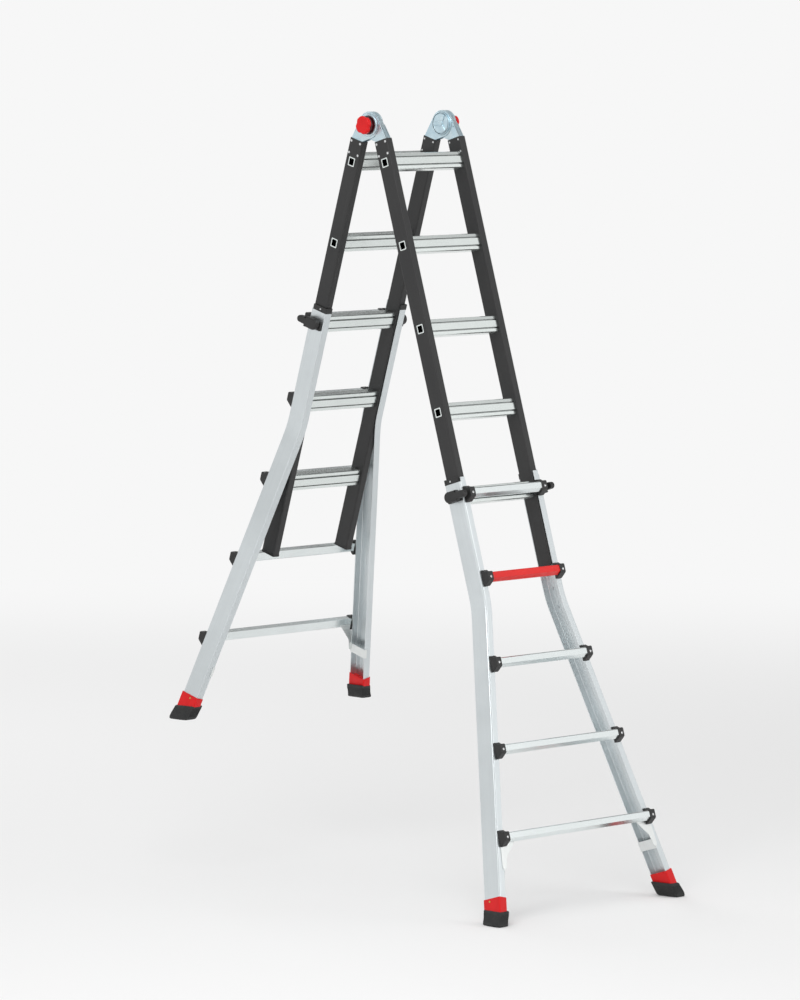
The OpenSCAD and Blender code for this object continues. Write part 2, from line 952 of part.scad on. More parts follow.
// Housings of the slide locks, on the outer stiles' webs level with the first outer rung
module lock_housings(side) {
    corner = 4;
    color("#1f1f20")
        outer_leg(side)
            for (x_side = [left, right])
                on_side(x_side)
                    translate([0, leg_offset, 0])
                        difference() {
                            translate([out_x1, housing_y[0], housing_z[0]])
                                rotate([90, 0, 90])
                                    linear_extrude(housing_t)
                                        round_rect(housing_y[1] - housing_y[0],
                                                   housing_z[1] - housing_z[0], corner);
                            along_x(0)
                                cylinder(r = stem_r + stem_run, h = big);
                        }
}

// Pull handle: a stem through the housing with a flat grip that reaches to the stile's front,
// and the lock pin ahead of the stem
module lock_handle(side, x_side) {
    color("#262627")
        outer_leg(side)
            on_side(x_side)
                translate([0, leg_offset, 0]) {
                    along_x(out_x1 - web_t)
                        cylinder(r = lock_pin_slide_r, h = web_t + 1);
                    along_x(out_x1)
                        cylinder(r = stem_r, h = grip_x0 - out_x1 + 2);
                    translate([grip_x0, -grip_back, 0]) {
                        along_x(0)
                            grip_end(grip_h / 2);
                        translate([0, grip_reach, 0])
                            along_x(0)
                                grip_end(grip_neck_h / 2);
                        rotate([90, 0, 90])
                            linear_extrude(grip_t)
                                grip_middle();
                    }
                }
}

// Outline of a grip between its round ends: the rear block tapers into the neck
module grip_middle() {
    block = grip_h / 2;
    neck = grip_neck_h / 2;
    polygon([
        [0, -block], [grip_block, -block], [grip_block + grip_taper, -neck],
        [grip_reach, -neck], [grip_reach, neck], [grip_block + grip_taper, neck],
        [grip_block, block], [0, block]
    ]);
}

module grip_end(r) {
    edge = 3;
    cylinder(r = r, h = grip_t - edge);
    translate([0, 0, grip_t - edge])
        cylinder(r1 = r, r2 = r - edge, h = edge);
}

// ---------------------------------------------------------------- nodes

inner_stile(front, left);  // front_inner_stile_left
inner_stile(front, right);  // front_inner_stile_right
inner_rung(front, 1);  // front_inner_rung_1
inner_rung(front, 2);  // front_inner_rung_2
inner_rung(front, 3);  // front_inner_rung_3
inner_rung(front, 4);  // front_inner_rung_4
inner_rung(front, 5);  // front_inner_rung_5
inner_end_plugs(front);  // front_inner_end_plugs
front_hinge_plates(left);  // front_hinge_plates_left
front_hinge_plates(right);  // front_hinge_plates_right
hinge_rivets(front);  // front_hinge_rivets
hinge_pivot_bushes();
inner_stile(rear, left);  // rear_inner_stile_left
inner_stile(rear, right);  // rear_inner_stile_right
inner_rung(rear, 1);  // rear_inner_rung_1
inner_rung(rear, 2);  // rear_inner_rung_2
inner_rung(rear, 3);  // rear_inner_rung_3
inner_rung(rear, 4);  // rear_inner_rung_4
inner_rung(rear, 5);  // rear_inner_rung_5
inner_end_plugs(rear);  // rear_inner_end_plugs
rear_hinge_plates(left);  // rear_hinge_plates_left
rear_hinge_plates(right);  // rear_hinge_plates_right
hinge_rivets(rear);  // rear_hinge_rivets
hinge_springs();
hinge_knob(left);  // hinge_knob_left
hinge_knob(right);  // hinge_knob_right
lock_spider(left);  // lock_spider_left
lock_spider(right);  // lock_spider_right
outer_stile(front, left);  // front_outer_stile_left
outer_stile(front, right);  // front_outer_stile_right
outer_rung(front, 1);  // front_outer_rung_1
outer_rung(front, 2);  // front_outer_rung_2
outer_rung(front, 3);  // front_outer_rung_3
outer_rung(front, 4);  // front_outer_rung_4
outer_rung(front, 5);  // front_outer_rung_5
rung_brackets(front);  // front_rung_brackets
outer_rivets(front);  // front_outer_rivets
stile_guides(front);  // front_stile_guides
knee_braces(front);  // front_knee_braces
foot_collars(front);  // front_foot_collars
foot_shoes(front);  // front_foot_shoes
lock_housings(front);  // front_lock_housings
outer_stile(rear, left);  // rear_outer_stile_left
outer_stile(rear, right);  // rear_outer_stile_right
outer_rung(rear, 1);  // rear_outer_rung_1
outer_rung(rear, 2);  // rear_outer_rung_2
outer_rung(rear, 3);  // rear_outer_rung_3
outer_rung(rear, 4);  // rear_outer_rung_4
outer_rung(rear, 5);  // rear_outer_rung_5
rung_brackets(rear);  // rear_rung_brackets
outer_rivets(rear);  // rear_outer_rivets
stile_guides(rear);  // rear_stile_guides
knee_braces(rear);  // rear_knee_braces
foot_collars(rear);  // rear_foot_collars
foot_shoes(rear);  // rear_foot_shoes
lock_housings(rear);  // rear_lock_housings
lock_handle(front, left);  // lock_handle_front_left
lock_handle(front, right);  // lock_handle_front_right
lock_handle(rear, left);  // lock_handle_rear_left
lock_handle(rear, right);  // lock_handle_rear_right
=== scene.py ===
import json
import math

import bmesh
import bpy
from mathutils import Matrix, Vector
from mathutils.geometry import tessellate_polygon

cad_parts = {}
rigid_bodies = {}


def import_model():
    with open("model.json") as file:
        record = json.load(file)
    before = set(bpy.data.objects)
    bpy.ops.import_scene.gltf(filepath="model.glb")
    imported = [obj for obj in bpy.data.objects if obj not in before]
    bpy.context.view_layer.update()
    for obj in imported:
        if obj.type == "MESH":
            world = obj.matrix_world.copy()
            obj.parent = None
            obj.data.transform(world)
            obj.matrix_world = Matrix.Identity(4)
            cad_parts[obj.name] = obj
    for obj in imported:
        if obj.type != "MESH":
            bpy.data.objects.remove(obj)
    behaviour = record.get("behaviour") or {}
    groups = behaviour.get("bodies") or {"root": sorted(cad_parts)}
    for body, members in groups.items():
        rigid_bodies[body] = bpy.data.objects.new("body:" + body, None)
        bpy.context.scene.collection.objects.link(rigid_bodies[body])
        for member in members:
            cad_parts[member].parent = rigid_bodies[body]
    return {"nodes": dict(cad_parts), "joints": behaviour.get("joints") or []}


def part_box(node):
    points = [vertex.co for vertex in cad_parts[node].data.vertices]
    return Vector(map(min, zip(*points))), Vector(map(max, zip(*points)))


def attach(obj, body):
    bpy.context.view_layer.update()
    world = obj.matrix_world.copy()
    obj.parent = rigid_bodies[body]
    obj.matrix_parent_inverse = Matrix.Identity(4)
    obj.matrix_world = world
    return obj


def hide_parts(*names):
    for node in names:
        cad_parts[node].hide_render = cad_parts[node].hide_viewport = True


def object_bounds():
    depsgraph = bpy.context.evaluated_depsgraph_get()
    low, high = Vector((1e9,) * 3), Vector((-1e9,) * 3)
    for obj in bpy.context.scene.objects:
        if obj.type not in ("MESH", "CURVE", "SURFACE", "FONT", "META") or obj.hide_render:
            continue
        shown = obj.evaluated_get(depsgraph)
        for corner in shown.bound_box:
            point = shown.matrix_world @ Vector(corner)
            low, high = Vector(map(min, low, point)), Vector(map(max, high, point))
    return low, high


# The looks of the multi position ladder, in metres and in the CAD model's own frame.
# A leg's own frame has x along the rungs, y outward of the leg and z up the leg.

for old in list(bpy.data.objects):
    bpy.data.objects.remove(old)
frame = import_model()
cad_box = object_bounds()

MM = 0.001
LEGS = {"front": -1, "rear": 1}
SIDES = {"left": -1, "right": 1}
RUNGS = range(1, 6)

# ------------------------------------------------------------------ places, from the frame

JOINTS = {j["name"]: j for j in frame["joints"]}
HINGE = Vector(JOINTS["hinge_fold"]["pos_m"])
LEAN = math.asin(abs(JOINTS["front_extend"]["axis"][1]))


def leg_frame(leg):
    """A leg's own frame, with the hinge axis as its x axis."""
    facing = Matrix.Diagonal((1, LEGS[leg], 1, 1))
    return Matrix.Translation(HINGE) @ facing @ Matrix.Rotation(LEAN, 4, "X")


def local_box(node, matrix):
    """(lowest corner, highest corner) of a CAD node in another frame."""
    inverse = matrix.inverted()
    points = [inverse @ v.co for v in frame["nodes"][node].data.vertices]
    low = Vector([min(p[k] for p in points) for k in range(3)])
    high = Vector([max(p[k] for p in points) for k in range(3)])
    return low, high


def middle_z(node, matrix):
    low, high = local_box(node, matrix)
    return (low.z + high.z) / 2


LEG = {leg: leg_frame(leg) for leg in LEGS}
FIRST_RUNG = -middle_z("front_inner_rung_1", LEG["front"])
PITCH = -middle_z("front_inner_rung_2", LEG["front"]) - FIRST_RUNG
# Each outer ladder's frame has z = 0 at its first rung, which its lock handles are level with
OUTER = {
    leg: LEG[leg] @ Matrix.Translation((0, 0, middle_z(f"lock_handle_{leg}_right", LEG[leg])))
    for leg in LEGS
}

inner_low, inner_high = local_box("front_inner_stile_right", LEG["front"])
INNER_X = (inner_low.x, inner_high.x)
INNER_Y = (inner_low.y, inner_high.y)
INNER_TOP = -inner_high.z
outer_low, outer_high = local_box("front_outer_stile_right", OUTER["front"])
OUTER_Y = (outer_low.y, outer_high.y)
MID_Y = (OUTER_Y[0] + OUTER_Y[1]) / 2
housing_low, housing_high = local_box("front_lock_housings", OUTER["front"])
HOUSING_T = 8 * MM
OUTER_X1 = housing_high.x - HOUSING_T
FLANGE_W = 28 * MM
OUTER_X0 = OUTER_X1 - FLANGE_W

# The flared half of an outer stile: a bend, and a straight stretch at an angle
FLARE = math.radians(13.3)
FLARE_DROP = 83 * MM
BEND_R = 300 * MM
BEND_TANGENT = BEND_R * math.tan(FLARE / 2)
BEND_START = PITCH + FLARE_DROP - BEND_TANGENT
BEND_X = OUTER_X1 + BEND_R
LAST_RUNG = 4 * PITCH
SOLE_DROP = LAST_RUNG + 269 * MM
FLARED_LEN = (SOLE_DROP - 66 * MM - PITCH - FLARE_DROP) / math.cos(FLARE) - BEND_TANGENT
SHOE_H = 46 * MM
COLLAR_WALL = 3 * MM

FLARED = (
    Matrix.Translation((BEND_X, 0, -BEND_START))
    @ Matrix.Rotation(-FLARE, 4, "Y")
    @ Matrix.Translation((-BEND_X, 0, 0))
)


def sole_z(leg):
    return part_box(f"{leg}_foot_shoes")[0].z


def bracket_x(i):
    """Rivet line of outer rung i, from the middle of the ladder."""
    flared_drop = max(0, (i - 2) * PITCH - FLARE_DROP)
    return OUTER_X1 - 20 * MM + flared_drop * math.tan(FLARE)


def mirrored(x_side):
    return Matrix.Diagonal((SIDES[x_side], 1, 1, 1))


def shift(x=0.0, y=0.0, z=0.0):
    return Matrix.Translation((x, y, z))


# A prism's outline lies in x and y and its depth in z. These lay the depth along another axis.
ALONG_X = Matrix(((0, 0, 1, 0), (1, 0, 0, 0), (0, 1, 0, 0), (0, 0, 0, 1)))
ALONG_Y = Matrix(((1, 0, 0, 0), (0, 0, 1, 0), (0, 1, 0, 0), (0, 0, 0, 1)))

# ------------------------------------------------------------------ outlines


def arc(cx, cy, r, start, end, steps=8):
    turns = [math.radians(start + (end - start) * k / steps) for k in range(steps + 1)]
    return [(cx + r * math.cos(a), cy + r * math.sin(a)) for a in turns]


def circle(r, cx=0.0, cy=0.0, steps=32):
    return arc(cx, cy, r, 0, 360 - 360 / steps, steps - 1)


def filleted(points, r, steps=4):
    """The polygon with each corner rounded to radius r, or less where its sides are short."""
    out = []
    count = len(points)
    for k in range(count):
        here = Vector(points[k])
        back = Vector(points[k - 1]) - here
        ahead = Vector(points[(k + 1) % count]) - here
        turn = math.pi - back.angle(ahead)
        if turn < math.radians(4):
            out.append(tuple(here))
            continue
        reach = min(r * math.tan(turn / 2), 0.45 * back.length, 0.45 * ahead.length)
        p0 = here + back.normalized() * reach
        p2 = here + ahead.normalized() * reach
        for step in range(steps + 1):
            t = step / steps
            out.append(tuple(p0 * (1 - t) ** 2 + here * 2 * t * (1 - t) + p2 * t * t))
    return out


def rectangle(x0, y0, x1, y1, r=0.0, steps=4):
    corners = [(x0, y0), (x1, y0), (x1, y1), (x0, y1)]
    return filleted(corners, r, steps) if r else corners


def scaled(points, k=MM):
    return [(x * k, y * k) for x, y in points]


def area(points):
    return sum(
        points[k - 1][0] * points[k][1] - points[k][0] * points[k - 1][1]
        for k in range(len(points))
    )


# ------------------------------------------------------------------ solids


def inset_ring(points, amount):
    """Points moved to the left of their direction of travel, which is into the material."""
    out = []
    count = len(points)
    for k in range(count):
        p = Vector(points[k])
        d0 = (p - Vector(points[k - 1])).normalized()
        d1 = (Vector(points[(k + 1) % count]) - p).normalized()
        n0, n1 = Vector((-d0.y, d0.x)), Vector((-d1.y, d1.x))
        out.append(p + (n0 + n1) * amount / max(0.3, 1 + n0.dot(n1)))
    return out


def prism(outline, depth, bevel=0.0, holes=(), steps=3, low_bevel=None):
    """A mesh with this outline from z = 0 to depth. Its edges are rounded by bevel."""
    low_bevel = bevel if low_bevel is None else low_bevel
    loops = [outline if area(outline) > 0 else outline[::-1]]
    loops += [h if area(h) < 0 else h[::-1] for h in holes]
    profile = []
    for k in range(steps + 1 if low_bevel else 1):
        a = math.pi / 2 * k / steps
        profile.append((low_bevel * (1 - math.sin(a)), low_bevel * (1 - math.cos(a))))
    for k in range(steps if bevel else 0, -1, -1):
        a = math.pi / 2 * k / steps
        profile.append((bevel * (1 - math.sin(a)), depth - bevel * (1 - math.cos(a))))
    bm = bmesh.new()
    ends = [[], []]
    for loop in loops:
        rings = []
        for inset, z in profile:
            rings.append([bm.verts.new((p.x, p.y, z)) for p in inset_ring(loop, inset)])
        for low, high in zip(rings, rings[1:]):
            for k in range(len(loop)):
                bm.faces.new((low[k - 1], low[k], high[k], high[k - 1]))
        ends[0].append(rings[0])
        ends[1].append(rings[-1])
    for end in ends:
        flat = [v for ring in end for v in ring]
        for tri in tessellate_polygon([[v.co for v in ring] for ring in end]):
            if len(set(tri)) == 3:
                bm.faces.new([flat[k] for k in tri])
    bmesh.ops.recalc_face_normals(bm, faces=bm.faces)
    mesh = bpy.data.meshes.new("solid")
    bm.to_mesh(mesh)
    bm.free()
    return mesh


def lathe(profile, steps=24):
    """A mesh turned about z from (radius, height) points, closed on the axis at both ends."""
    bm = bmesh.new()
    rings = []
    for r, z in profile:
        if r == 0:
            rings.append([bm.verts.new((0, 0, z))])
        else:
            rings.append([bm.verts.new((x, y, z)) for x, y in circle(r, steps=steps)])
    for low, high in zip(rings, rings[1:]):
        for k in range(steps):
            if len(low) == 1:
                bm.faces.new((low[0], high[k], high[k - 1]))
            elif len(high) == 1:
                bm.faces.new((low[k - 1], low[k], high[0]))
            else:
                bm.faces.new((low[k - 1], low[k], high[k], high[k - 1]))
    bmesh.ops.recalc_face_normals(bm, faces=bm.faces)
    mesh = bpy.data.meshes.new("turned")
    bm.to_mesh(mesh)
    bm.free()
    return mesh


def tube(path, r, sides=10):
    """A mesh of a round wire along a path of points."""
    bm = bmesh.new()
    rings = []
    for k, p in enumerate(path):
        ahead = (path[min(k + 1, len(path) - 1)] - path[max(k - 1, 0)]).normalized()
        across = ahead.cross(Vector((1, 0, 0))).normalized()
        other = ahead.cross(across)
        rings.append([
            bm.verts.new(p + across * r * math.cos(a) + other * r * math.sin(a))
            for a in (2 * math.pi * j / sides for j in range(sides))
        ])
    for low, high in zip(rings, rings[1:]):
        for k in range(sides):
            bm.faces.new((low[k - 1], low[k], high[k], high[k - 1]))
    bm.faces.new(rings[0])
    bm.faces.new(rings[-1])
    bmesh.ops.recalc_face_normals(bm, faces=bm.faces)
    mesh = bpy.data.meshes.new("wire")
    bm.to_mesh(mesh)
    bm.free()
    return mesh


def without(mesh, cutter):
    """The first mesh less the second."""
    objects = [bpy.data.objects.new("solid", m) for m in (mesh, cutter)]
    for o in objects:
        bpy.context.scene.collection.objects.link(o)
    cut = objects[0].modifiers.new("cut", "BOOLEAN")
    cut.operation = "DIFFERENCE"
    cut.solver = "EXACT"
    cut.object = objects[1]
    bpy.context.view_layer.update()
    made = bpy.data.meshes.new_from_object(
        objects[0].evaluated_get(bpy.context.evaluated_depsgraph_get())
    )
    for o in objects:
        bpy.data.objects.remove(o)
    return made


def cut_above(mesh, matrix, point, normal):
    """The mesh, placed by matrix, less what lies past a plane of the world. Returns world verts."""
    bm = bmesh.new()
    bm.from_mesh(mesh)
    bmesh.ops.transform(bm, matrix=matrix, verts=bm.verts)
    cut = bmesh.ops.bisect_plane(
        bm, geom=bm.verts[:] + bm.edges[:] + bm.faces[:], plane_co=point, plane_no=normal,
        clear_outer=True,
    )
    edges = [e for e in cut["geom_cut"] if isinstance(e, bmesh.types.BMEdge)]
    bmesh.ops.edgeloop_fill(bm, edges=edges)
    bmesh.ops.recalc_face_normals(bm, faces=bm.faces)
    made = bpy.data.meshes.new("cut")
    bm.to_mesh(made)
    bm.free()
    return made


def piece(name, solids, body, material, replaces=(), sharp=32):
    """One object of the ladder, from (mesh, matrix) pairs."""
    bm = bmesh.new()
    for mesh, matrix in solids:
        placed = mesh.copy()
        placed.transform(matrix)
        if matrix.determinant() < 0:
            placed.flip_normals()
        bm.from_mesh(placed)
        bpy.data.meshes.remove(placed)
    made = bpy.data.meshes.new(name)
    bm.to_mesh(made)
    bm.free()
    made.materials.append(material)
    made.shade_smooth()
    made.set_sharp_from_angle(angle=math.radians(sharp))
    obj = bpy.data.objects.new(name, made)
    bpy.context.scene.collection.objects.link(obj)
    even = obj.modifiers.new("even_normals", "WEIGHTED_NORMAL")
    even.keep_sharp = True
    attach(obj, body)
    if replaces:
        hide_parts(*replaces)
    return obj


# ------------------------------------------------------------------ materials


class Shader:
    """A material's node tree with short helpers. Every helper returns an output socket."""

    def __init__(self, name):
        self.material = bpy.data.materials.new(name)
        self.material.use_nodes = True
        self.nodes = self.material.node_tree.nodes
        self.links = self.material.node_tree.links
        self.bsdf = self.nodes["Principled BSDF"]
        self.place = self.nodes.new("ShaderNodeTexCoord").outputs["Object"]

    def node(self, kind, inputs, output=0, **settings):
        made = self.nodes.new(kind)
        for key, value in settings.items():
            setattr(made, key, value)
        for key, value in inputs.items():
            if isinstance(value, bpy.types.NodeSocket):
                self.links.new(value, made.inputs[key])
            elif value is not None:
                made.inputs[key].default_value = value
        return made.outputs[output]

    def math(self, how, a, b=0.0, clamp=False):
        return self.node("ShaderNodeMath", {0: a, 1: b}, operation=how, use_clamp=clamp)

    def noise(self, scale, detail=3.0, rough=0.5, vector=None):
        inputs = {"Vector": vector or self.place, "Scale": scale, "Detail": detail,
                  "Roughness": rough}
        return self.node("ShaderNodeTexNoise", inputs, "Fac")

    def span(self, value, low, high, to_low=0.0, to_high=1.0):
        inputs = {0: value, 1: low, 2: high, 3: to_low, 4: to_high}
        return self.node("ShaderNodeMapRange", inputs)

    def mix(self, fac, a, b):
        inputs = {0: fac, 6: a, 7: b}
        return self.node("ShaderNodeMix", inputs, 2, data_type="RGBA")

    def stretched(self, turn, scale):
        """Object coordinates turned about x into a leg's frame, then scaled."""
        turned = self.node(
            "ShaderNodeMapping", {"Vector": self.place, "Rotation": (turn, 0, 0)},
            vector_type="POINT",
        )
        return self.node("ShaderNodeVectorMath", {0: turned, 1: scale}, operation="MULTIPLY")

    def edge(self, radius):
        """1 on the surface's sharp edges and 0 on its flats."""
        soft = self.node("ShaderNodeBevel", {"Radius": radius}, samples=4)
        hard = self.node("ShaderNodeNewGeometry", {}, "Normal")
        same = self.node("ShaderNodeVectorMath", {0: soft, 1: hard}, "Value",
                         operation="DOT_PRODUCT")
        return self.span(same, 0.98, 0.72)

    def crevice(self, distance):
        """Ambient occlusion mask for painted shade: 1 deep in grooves and seams narrower than the
        distance, and 0 on open faces.
        """
        open_sky = self.node("ShaderNodeAmbientOcclusion", {"Distance": distance}, "AO", samples=8)
        return self.span(open_sky, 0.80, 0.35)

    def bump(self, height, strength, distance, under=None):
        inputs = {"Height": height, "Strength": strength, "Distance": distance, "Normal": under}
        return self.node("ShaderNodeBump", inputs)

    def round_edges(self, radius):
        return self.node("ShaderNodeBevel", {"Radius": radius}, samples=4)

    def finish(self, color, rough, normal=None, metallic=0.0, coat=0.0, specular=0.5):
        for key, value in (("Base Color", color), ("Roughness", rough), ("Normal", normal)):
            if isinstance(value, bpy.types.NodeSocket):
                self.links.new(value, self.bsdf.inputs[key])
            elif value is not None:
                self.bsdf.inputs[key].default_value = value
        self.bsdf.inputs["Metallic"].default_value = metallic
        self.bsdf.inputs["Coat Weight"].default_value = coat
        self.bsdf.inputs["Coat Roughness"].default_value = 0.15
        self.bsdf.inputs["Specular IOR Level"].default_value = specular
        return self.material


def rgb(*levels):
    """A colour from display levels of 0 to 255."""
    linear = [((v / 255 + 0.055) / 1.055) ** 2.4 if v > 10 else v / 255 / 12.92 for v in levels]
    return (*linear, 1.0)


def leg_turn(leg):
    """The turn about x that lays world coordinates along a leg."""
    return -LEGS[leg] * LEAN


def black_coat(leg):
    """Satin powder coat with orange peel, and faint rubs along the leg from the outer ladder."""
    s = Shader(f"black_coat_{leg}")
    along = s.stretched(leg_turn(leg), (90, 260, 1.1))
    rubs = s.span(s.noise(1.0, 4, 0.6, along), 0.60, 0.78)
    cloud = s.span(s.noise(5.0, 3), 0.3, 0.7)
    base = s.mix(cloud, rgb(33, 33, 34), rgb(40, 40, 40))
    worn = s.mix(s.math("MULTIPLY", rubs, 0.30), base, rgb(70, 71, 72))
    chips = s.math("MULTIPLY", s.edge(1.2 * MM), s.span(s.noise(160, 2), 0.52, 0.62))
    color = s.mix(s.math("MULTIPLY", chips, 0.55), worn, rgb(150, 152, 153))
    rough = s.span(rubs, 0, 1, 0.47, 0.36)
    peel = s.bump(s.noise(620, 2), 0.16, 0.3 * MM, s.round_edges(0.6 * MM))
    return s.finish(color, rough, peel, specular=0.45)


def extruded(name, leg, tone, rough_span, wear=1.0):
    """Extruded aluminium: fine die lines down the stile, dull patches and bright worn edges."""
    s = Shader(name)
    turned = s.node("ShaderNodeMapping", {"Vector": s.place, "Rotation": (leg_turn(leg), 0, 0)},
                    vector_type="POINT")
    parts = s.nodes.new("ShaderNodeSeparateXYZ")
    s.links.new(turned, parts.inputs[0])
    along = turned_z(leg)
    below = s.math("MAXIMUM", s.math("SUBTRACT", along, parts.outputs[2]), 0.0)
    out = s.math("ABSOLUTE", parts.outputs[0])
    straight_x = s.math("SUBTRACT", out, s.math("MULTIPLY", below, math.tan(FLARE)))
    joined = s.nodes.new("ShaderNodeCombineXYZ")
    s.links.new(s.math("MULTIPLY", straight_x, 700.0), joined.inputs[0])
    s.links.new(s.math("MULTIPLY", parts.outputs[1], 700.0), joined.inputs[1])
    s.links.new(s.math("MULTIPLY", parts.outputs[2], 2.2), joined.inputs[2])
    lines = s.noise(1.0, 3, 0.6, joined.outputs[0])
    patches = s.span(s.noise(3.2, 4, 0.6), 0.35, 0.68)
    base = s.mix(patches, rgb(*tone), rgb(*[v - 9 for v in tone]))
    color = s.mix(s.math("MULTIPLY", s.span(lines, 0.42, 0.72), 0.22), base,
                  rgb(*[v - 34 for v in tone]))
    scuff = s.math("MULTIPLY", s.edge(1.6 * MM), 0.5 * wear)
    color = s.mix(scuff, color, rgb(250, 251, 251))
    low, high = rough_span
    rough = s.math("ADD", s.span(patches, 0, 1, low, high), s.span(lines, 0.3, 0.7, -0.03, 0.05))
    normal = s.bump(lines, 0.10, 0.12 * MM, s.round_edges(0.5 * MM))
    return s.finish(color, rough, normal, metallic=0.92)


def turned_z(leg):
    """Height, in a turned frame through the world's origin, at which the flare begins."""
    start = OUTER[leg] @ Vector((0, MID_Y, -(PITCH + FLARE_DROP)))
    return (Matrix.Rotation(leg_turn(leg), 4, "X") @ start).z


def drawn_rung(name, leg, tone, groove_shade=0.0):
    """Rungs of drawn aluminium: bright, with fine lines from end to end. Painted shade darkens the
    grooves and the insides of the open ends."""
    s = Shader(name)
    along = s.stretched(leg_turn(leg), (1.6, 900, 900))
    lines = s.noise(1.0, 3, 0.6, along)
    patches = s.span(s.noise(9, 3), 0.35, 0.7)
    base = s.mix(patches, rgb(*tone), rgb(*[v - 5 for v in tone]))
    color = s.mix(s.math("MULTIPLY", s.span(lines, 0.45, 0.72), 0.10), base,
                  rgb(*[v - 40 for v in tone]))
    # Painted shade: grooves narrower than 7 mm and the insides of the square open ends are darkened
    # to near black.
    if groove_shade:
        parts = s.nodes.new("ShaderNodeSeparateXYZ")
        s.links.new(s.place, parts.inputs[0])
        out = s.math("ABSOLUTE", parts.outputs[0])
        past = s.span(out, INNER_X[0] + 1 * MM, INNER_X[0] + 3 * MM)
        short = s.span(out, INNER_X[1] - 0.1 * MM, INNER_X[1] - 0.4 * MM)
        hollow = s.math("MULTIPLY", past, short)
        shade_mask = s.math("MAXIMUM", s.math("MULTIPLY", s.crevice(7 * MM), groove_shade), hollow)
        color = s.mix(shade_mask, color, rgb(18, 19, 19))
    rough = s.span(s.math("ADD", lines, patches), 0.5, 1.5, 0.17, 0.27)
    normal = s.bump(lines, 0.03, 0.1 * MM, s.round_edges(0.5 * MM))
    return s.finish(color, rough, normal, metallic=0.93)


def red_coat():
    """Glossy red powder coat on a rung, rubbed paler by boots along its tread edge."""
    s = Shader("red_rung_coat")
    cloud = s.span(s.noise(7, 3), 0.3, 0.7)
    base = s.mix(cloud, rgb(224, 30, 26), rgb(212, 24, 22))
    rub = s.math("MULTIPLY", s.edge(1.5 * MM), s.span(s.noise(60, 3), 0.45, 0.6))
    color = s.mix(s.math("MULTIPLY", rub, 0.4), base, rgb(236, 120, 105))
    normal = s.bump(s.noise(700, 2), 0.12, 0.2 * MM, s.round_edges(0.6 * MM))
    return s.finish(color, s.span(s.noise(30, 3), 0.3, 0.7, 0.28, 0.38), normal, coat=0.1,
                    specular=0.35)


def zinc():
    """Blue zinc plate: a pale cloudy sheen with rolling marks, and painted shade in its seams and
    grooves.
    """
    s = Shader("blue_zinc")
    cloud = s.span(s.noise(34, 4, 0.6), 0.32, 0.68)
    warm = s.span(s.noise(14, 2), 0.40, 0.62)
    base = s.mix(cloud, rgb(204, 224, 232), rgb(186, 210, 221))
    color = s.mix(s.math("MULTIPLY", warm, 0.35), base, rgb(214, 219, 218))
    # Painted shade: seams and grooves narrower than 2.5 mm are darkened to a dark blue-grey.
    color = s.mix(s.math("MULTIPLY", s.crevice(2.5 * MM), 0.85), color, rgb(48, 60, 68))
    grain = s.noise(1.0, 3, 0.6, s.stretched(0, (400, 400, 60)))
    rough = s.span(s.math("ADD", grain, cloud), 0.4, 1.6, 0.24, 0.42)
    normal = s.bump(grain, 0.12, 0.12 * MM, s.round_edges(0.4 * MM))
    return s.finish(color, rough, normal, metallic=0.9)


def moulded(name, tone, rough, grain=0.22, coat=0.0, specular=0.5, spread=7):
    """Moulded plastic: fine spark-eroded grain, faint flow marks and rubbed edges."""
    s = Shader(name)
    flow = s.span(s.noise(22, 3), 0.3, 0.7)
    base = s.mix(flow, rgb(*tone), rgb(*[max(0, v - spread) for v in tone]))
    rub = s.math("MULTIPLY", s.edge(1.0 * MM), s.span(s.noise(120, 3), 0.45, 0.6))
    color = s.mix(s.math("MULTIPLY", rub, 0.35), base, rgb(*[min(255, v + 42) for v in tone]))
    fine = s.noise(1900, 2)
    rough_map = s.span(flow, 0, 1, rough - 0.04, rough + 0.05)
    normal = s.bump(fine, grain, 0.12 * MM, s.round_edges(0.6 * MM))
    return s.finish(color, rough_map, normal, coat=coat, specular=specular)


def rubber():
    """Black rubber with a dusty bloom in patches."""
    s = Shader("shoe_rubber")
    dust = s.span(s.noise(48, 4, 0.7), 0.42, 0.75)
    color = s.mix(s.math("MULTIPLY", dust, 0.35), rgb(42, 43, 43), rgb(78, 78, 76))
    normal = s.bump(s.noise(900, 3), 0.3, 0.25 * MM, s.round_edges(0.8 * MM))
    return s.finish(color, s.span(dust, 0, 1, 0.68, 0.85), normal, specular=0.35)


def plain_metal(name, tone, rough, metallic=1.0):
    """Small turned or headed metal parts with a slightly uneven polish."""
    s = Shader(name)
    spots = s.span(s.noise(420, 3), 0.35, 0.7)
    color = s.mix(spots, rgb(*tone), rgb(*[v - 24 for v in tone]))
    normal = s.bump(s.noise(1500, 2), 0.1, 0.1 * MM, s.round_edges(0.25 * MM))
    return s.finish(color, s.span(spots, 0, 1, rough, rough + 0.12), normal, metallic=metallic)


BLACK_COAT = {leg: black_coat(leg) for leg in LEGS}
STILE = {leg: extruded(f"stile_{leg}", leg, (218, 224, 226), (0.30, 0.40)) for leg in LEGS}
# The inner rungs' 0.9 sets how strongly painted shade darkens their grooves.
INNER_RUNG = {leg: drawn_rung(f"inner_rung_{leg}", leg, (232, 238, 236), 0.9) for leg in LEGS}
OUTER_RUNG = {leg: drawn_rung(f"outer_rung_{leg}", leg, (236, 242, 242)) for leg in LEGS}
RED_COAT = red_coat()
ZINC = zinc()
BLACK_PLASTIC = moulded("black_nylon", (33, 33, 33), 0.46)
RED_PLASTIC = moulded("red_plastic", (214, 18, 22), 0.42, 0.12, specular=0.3, spread=12)
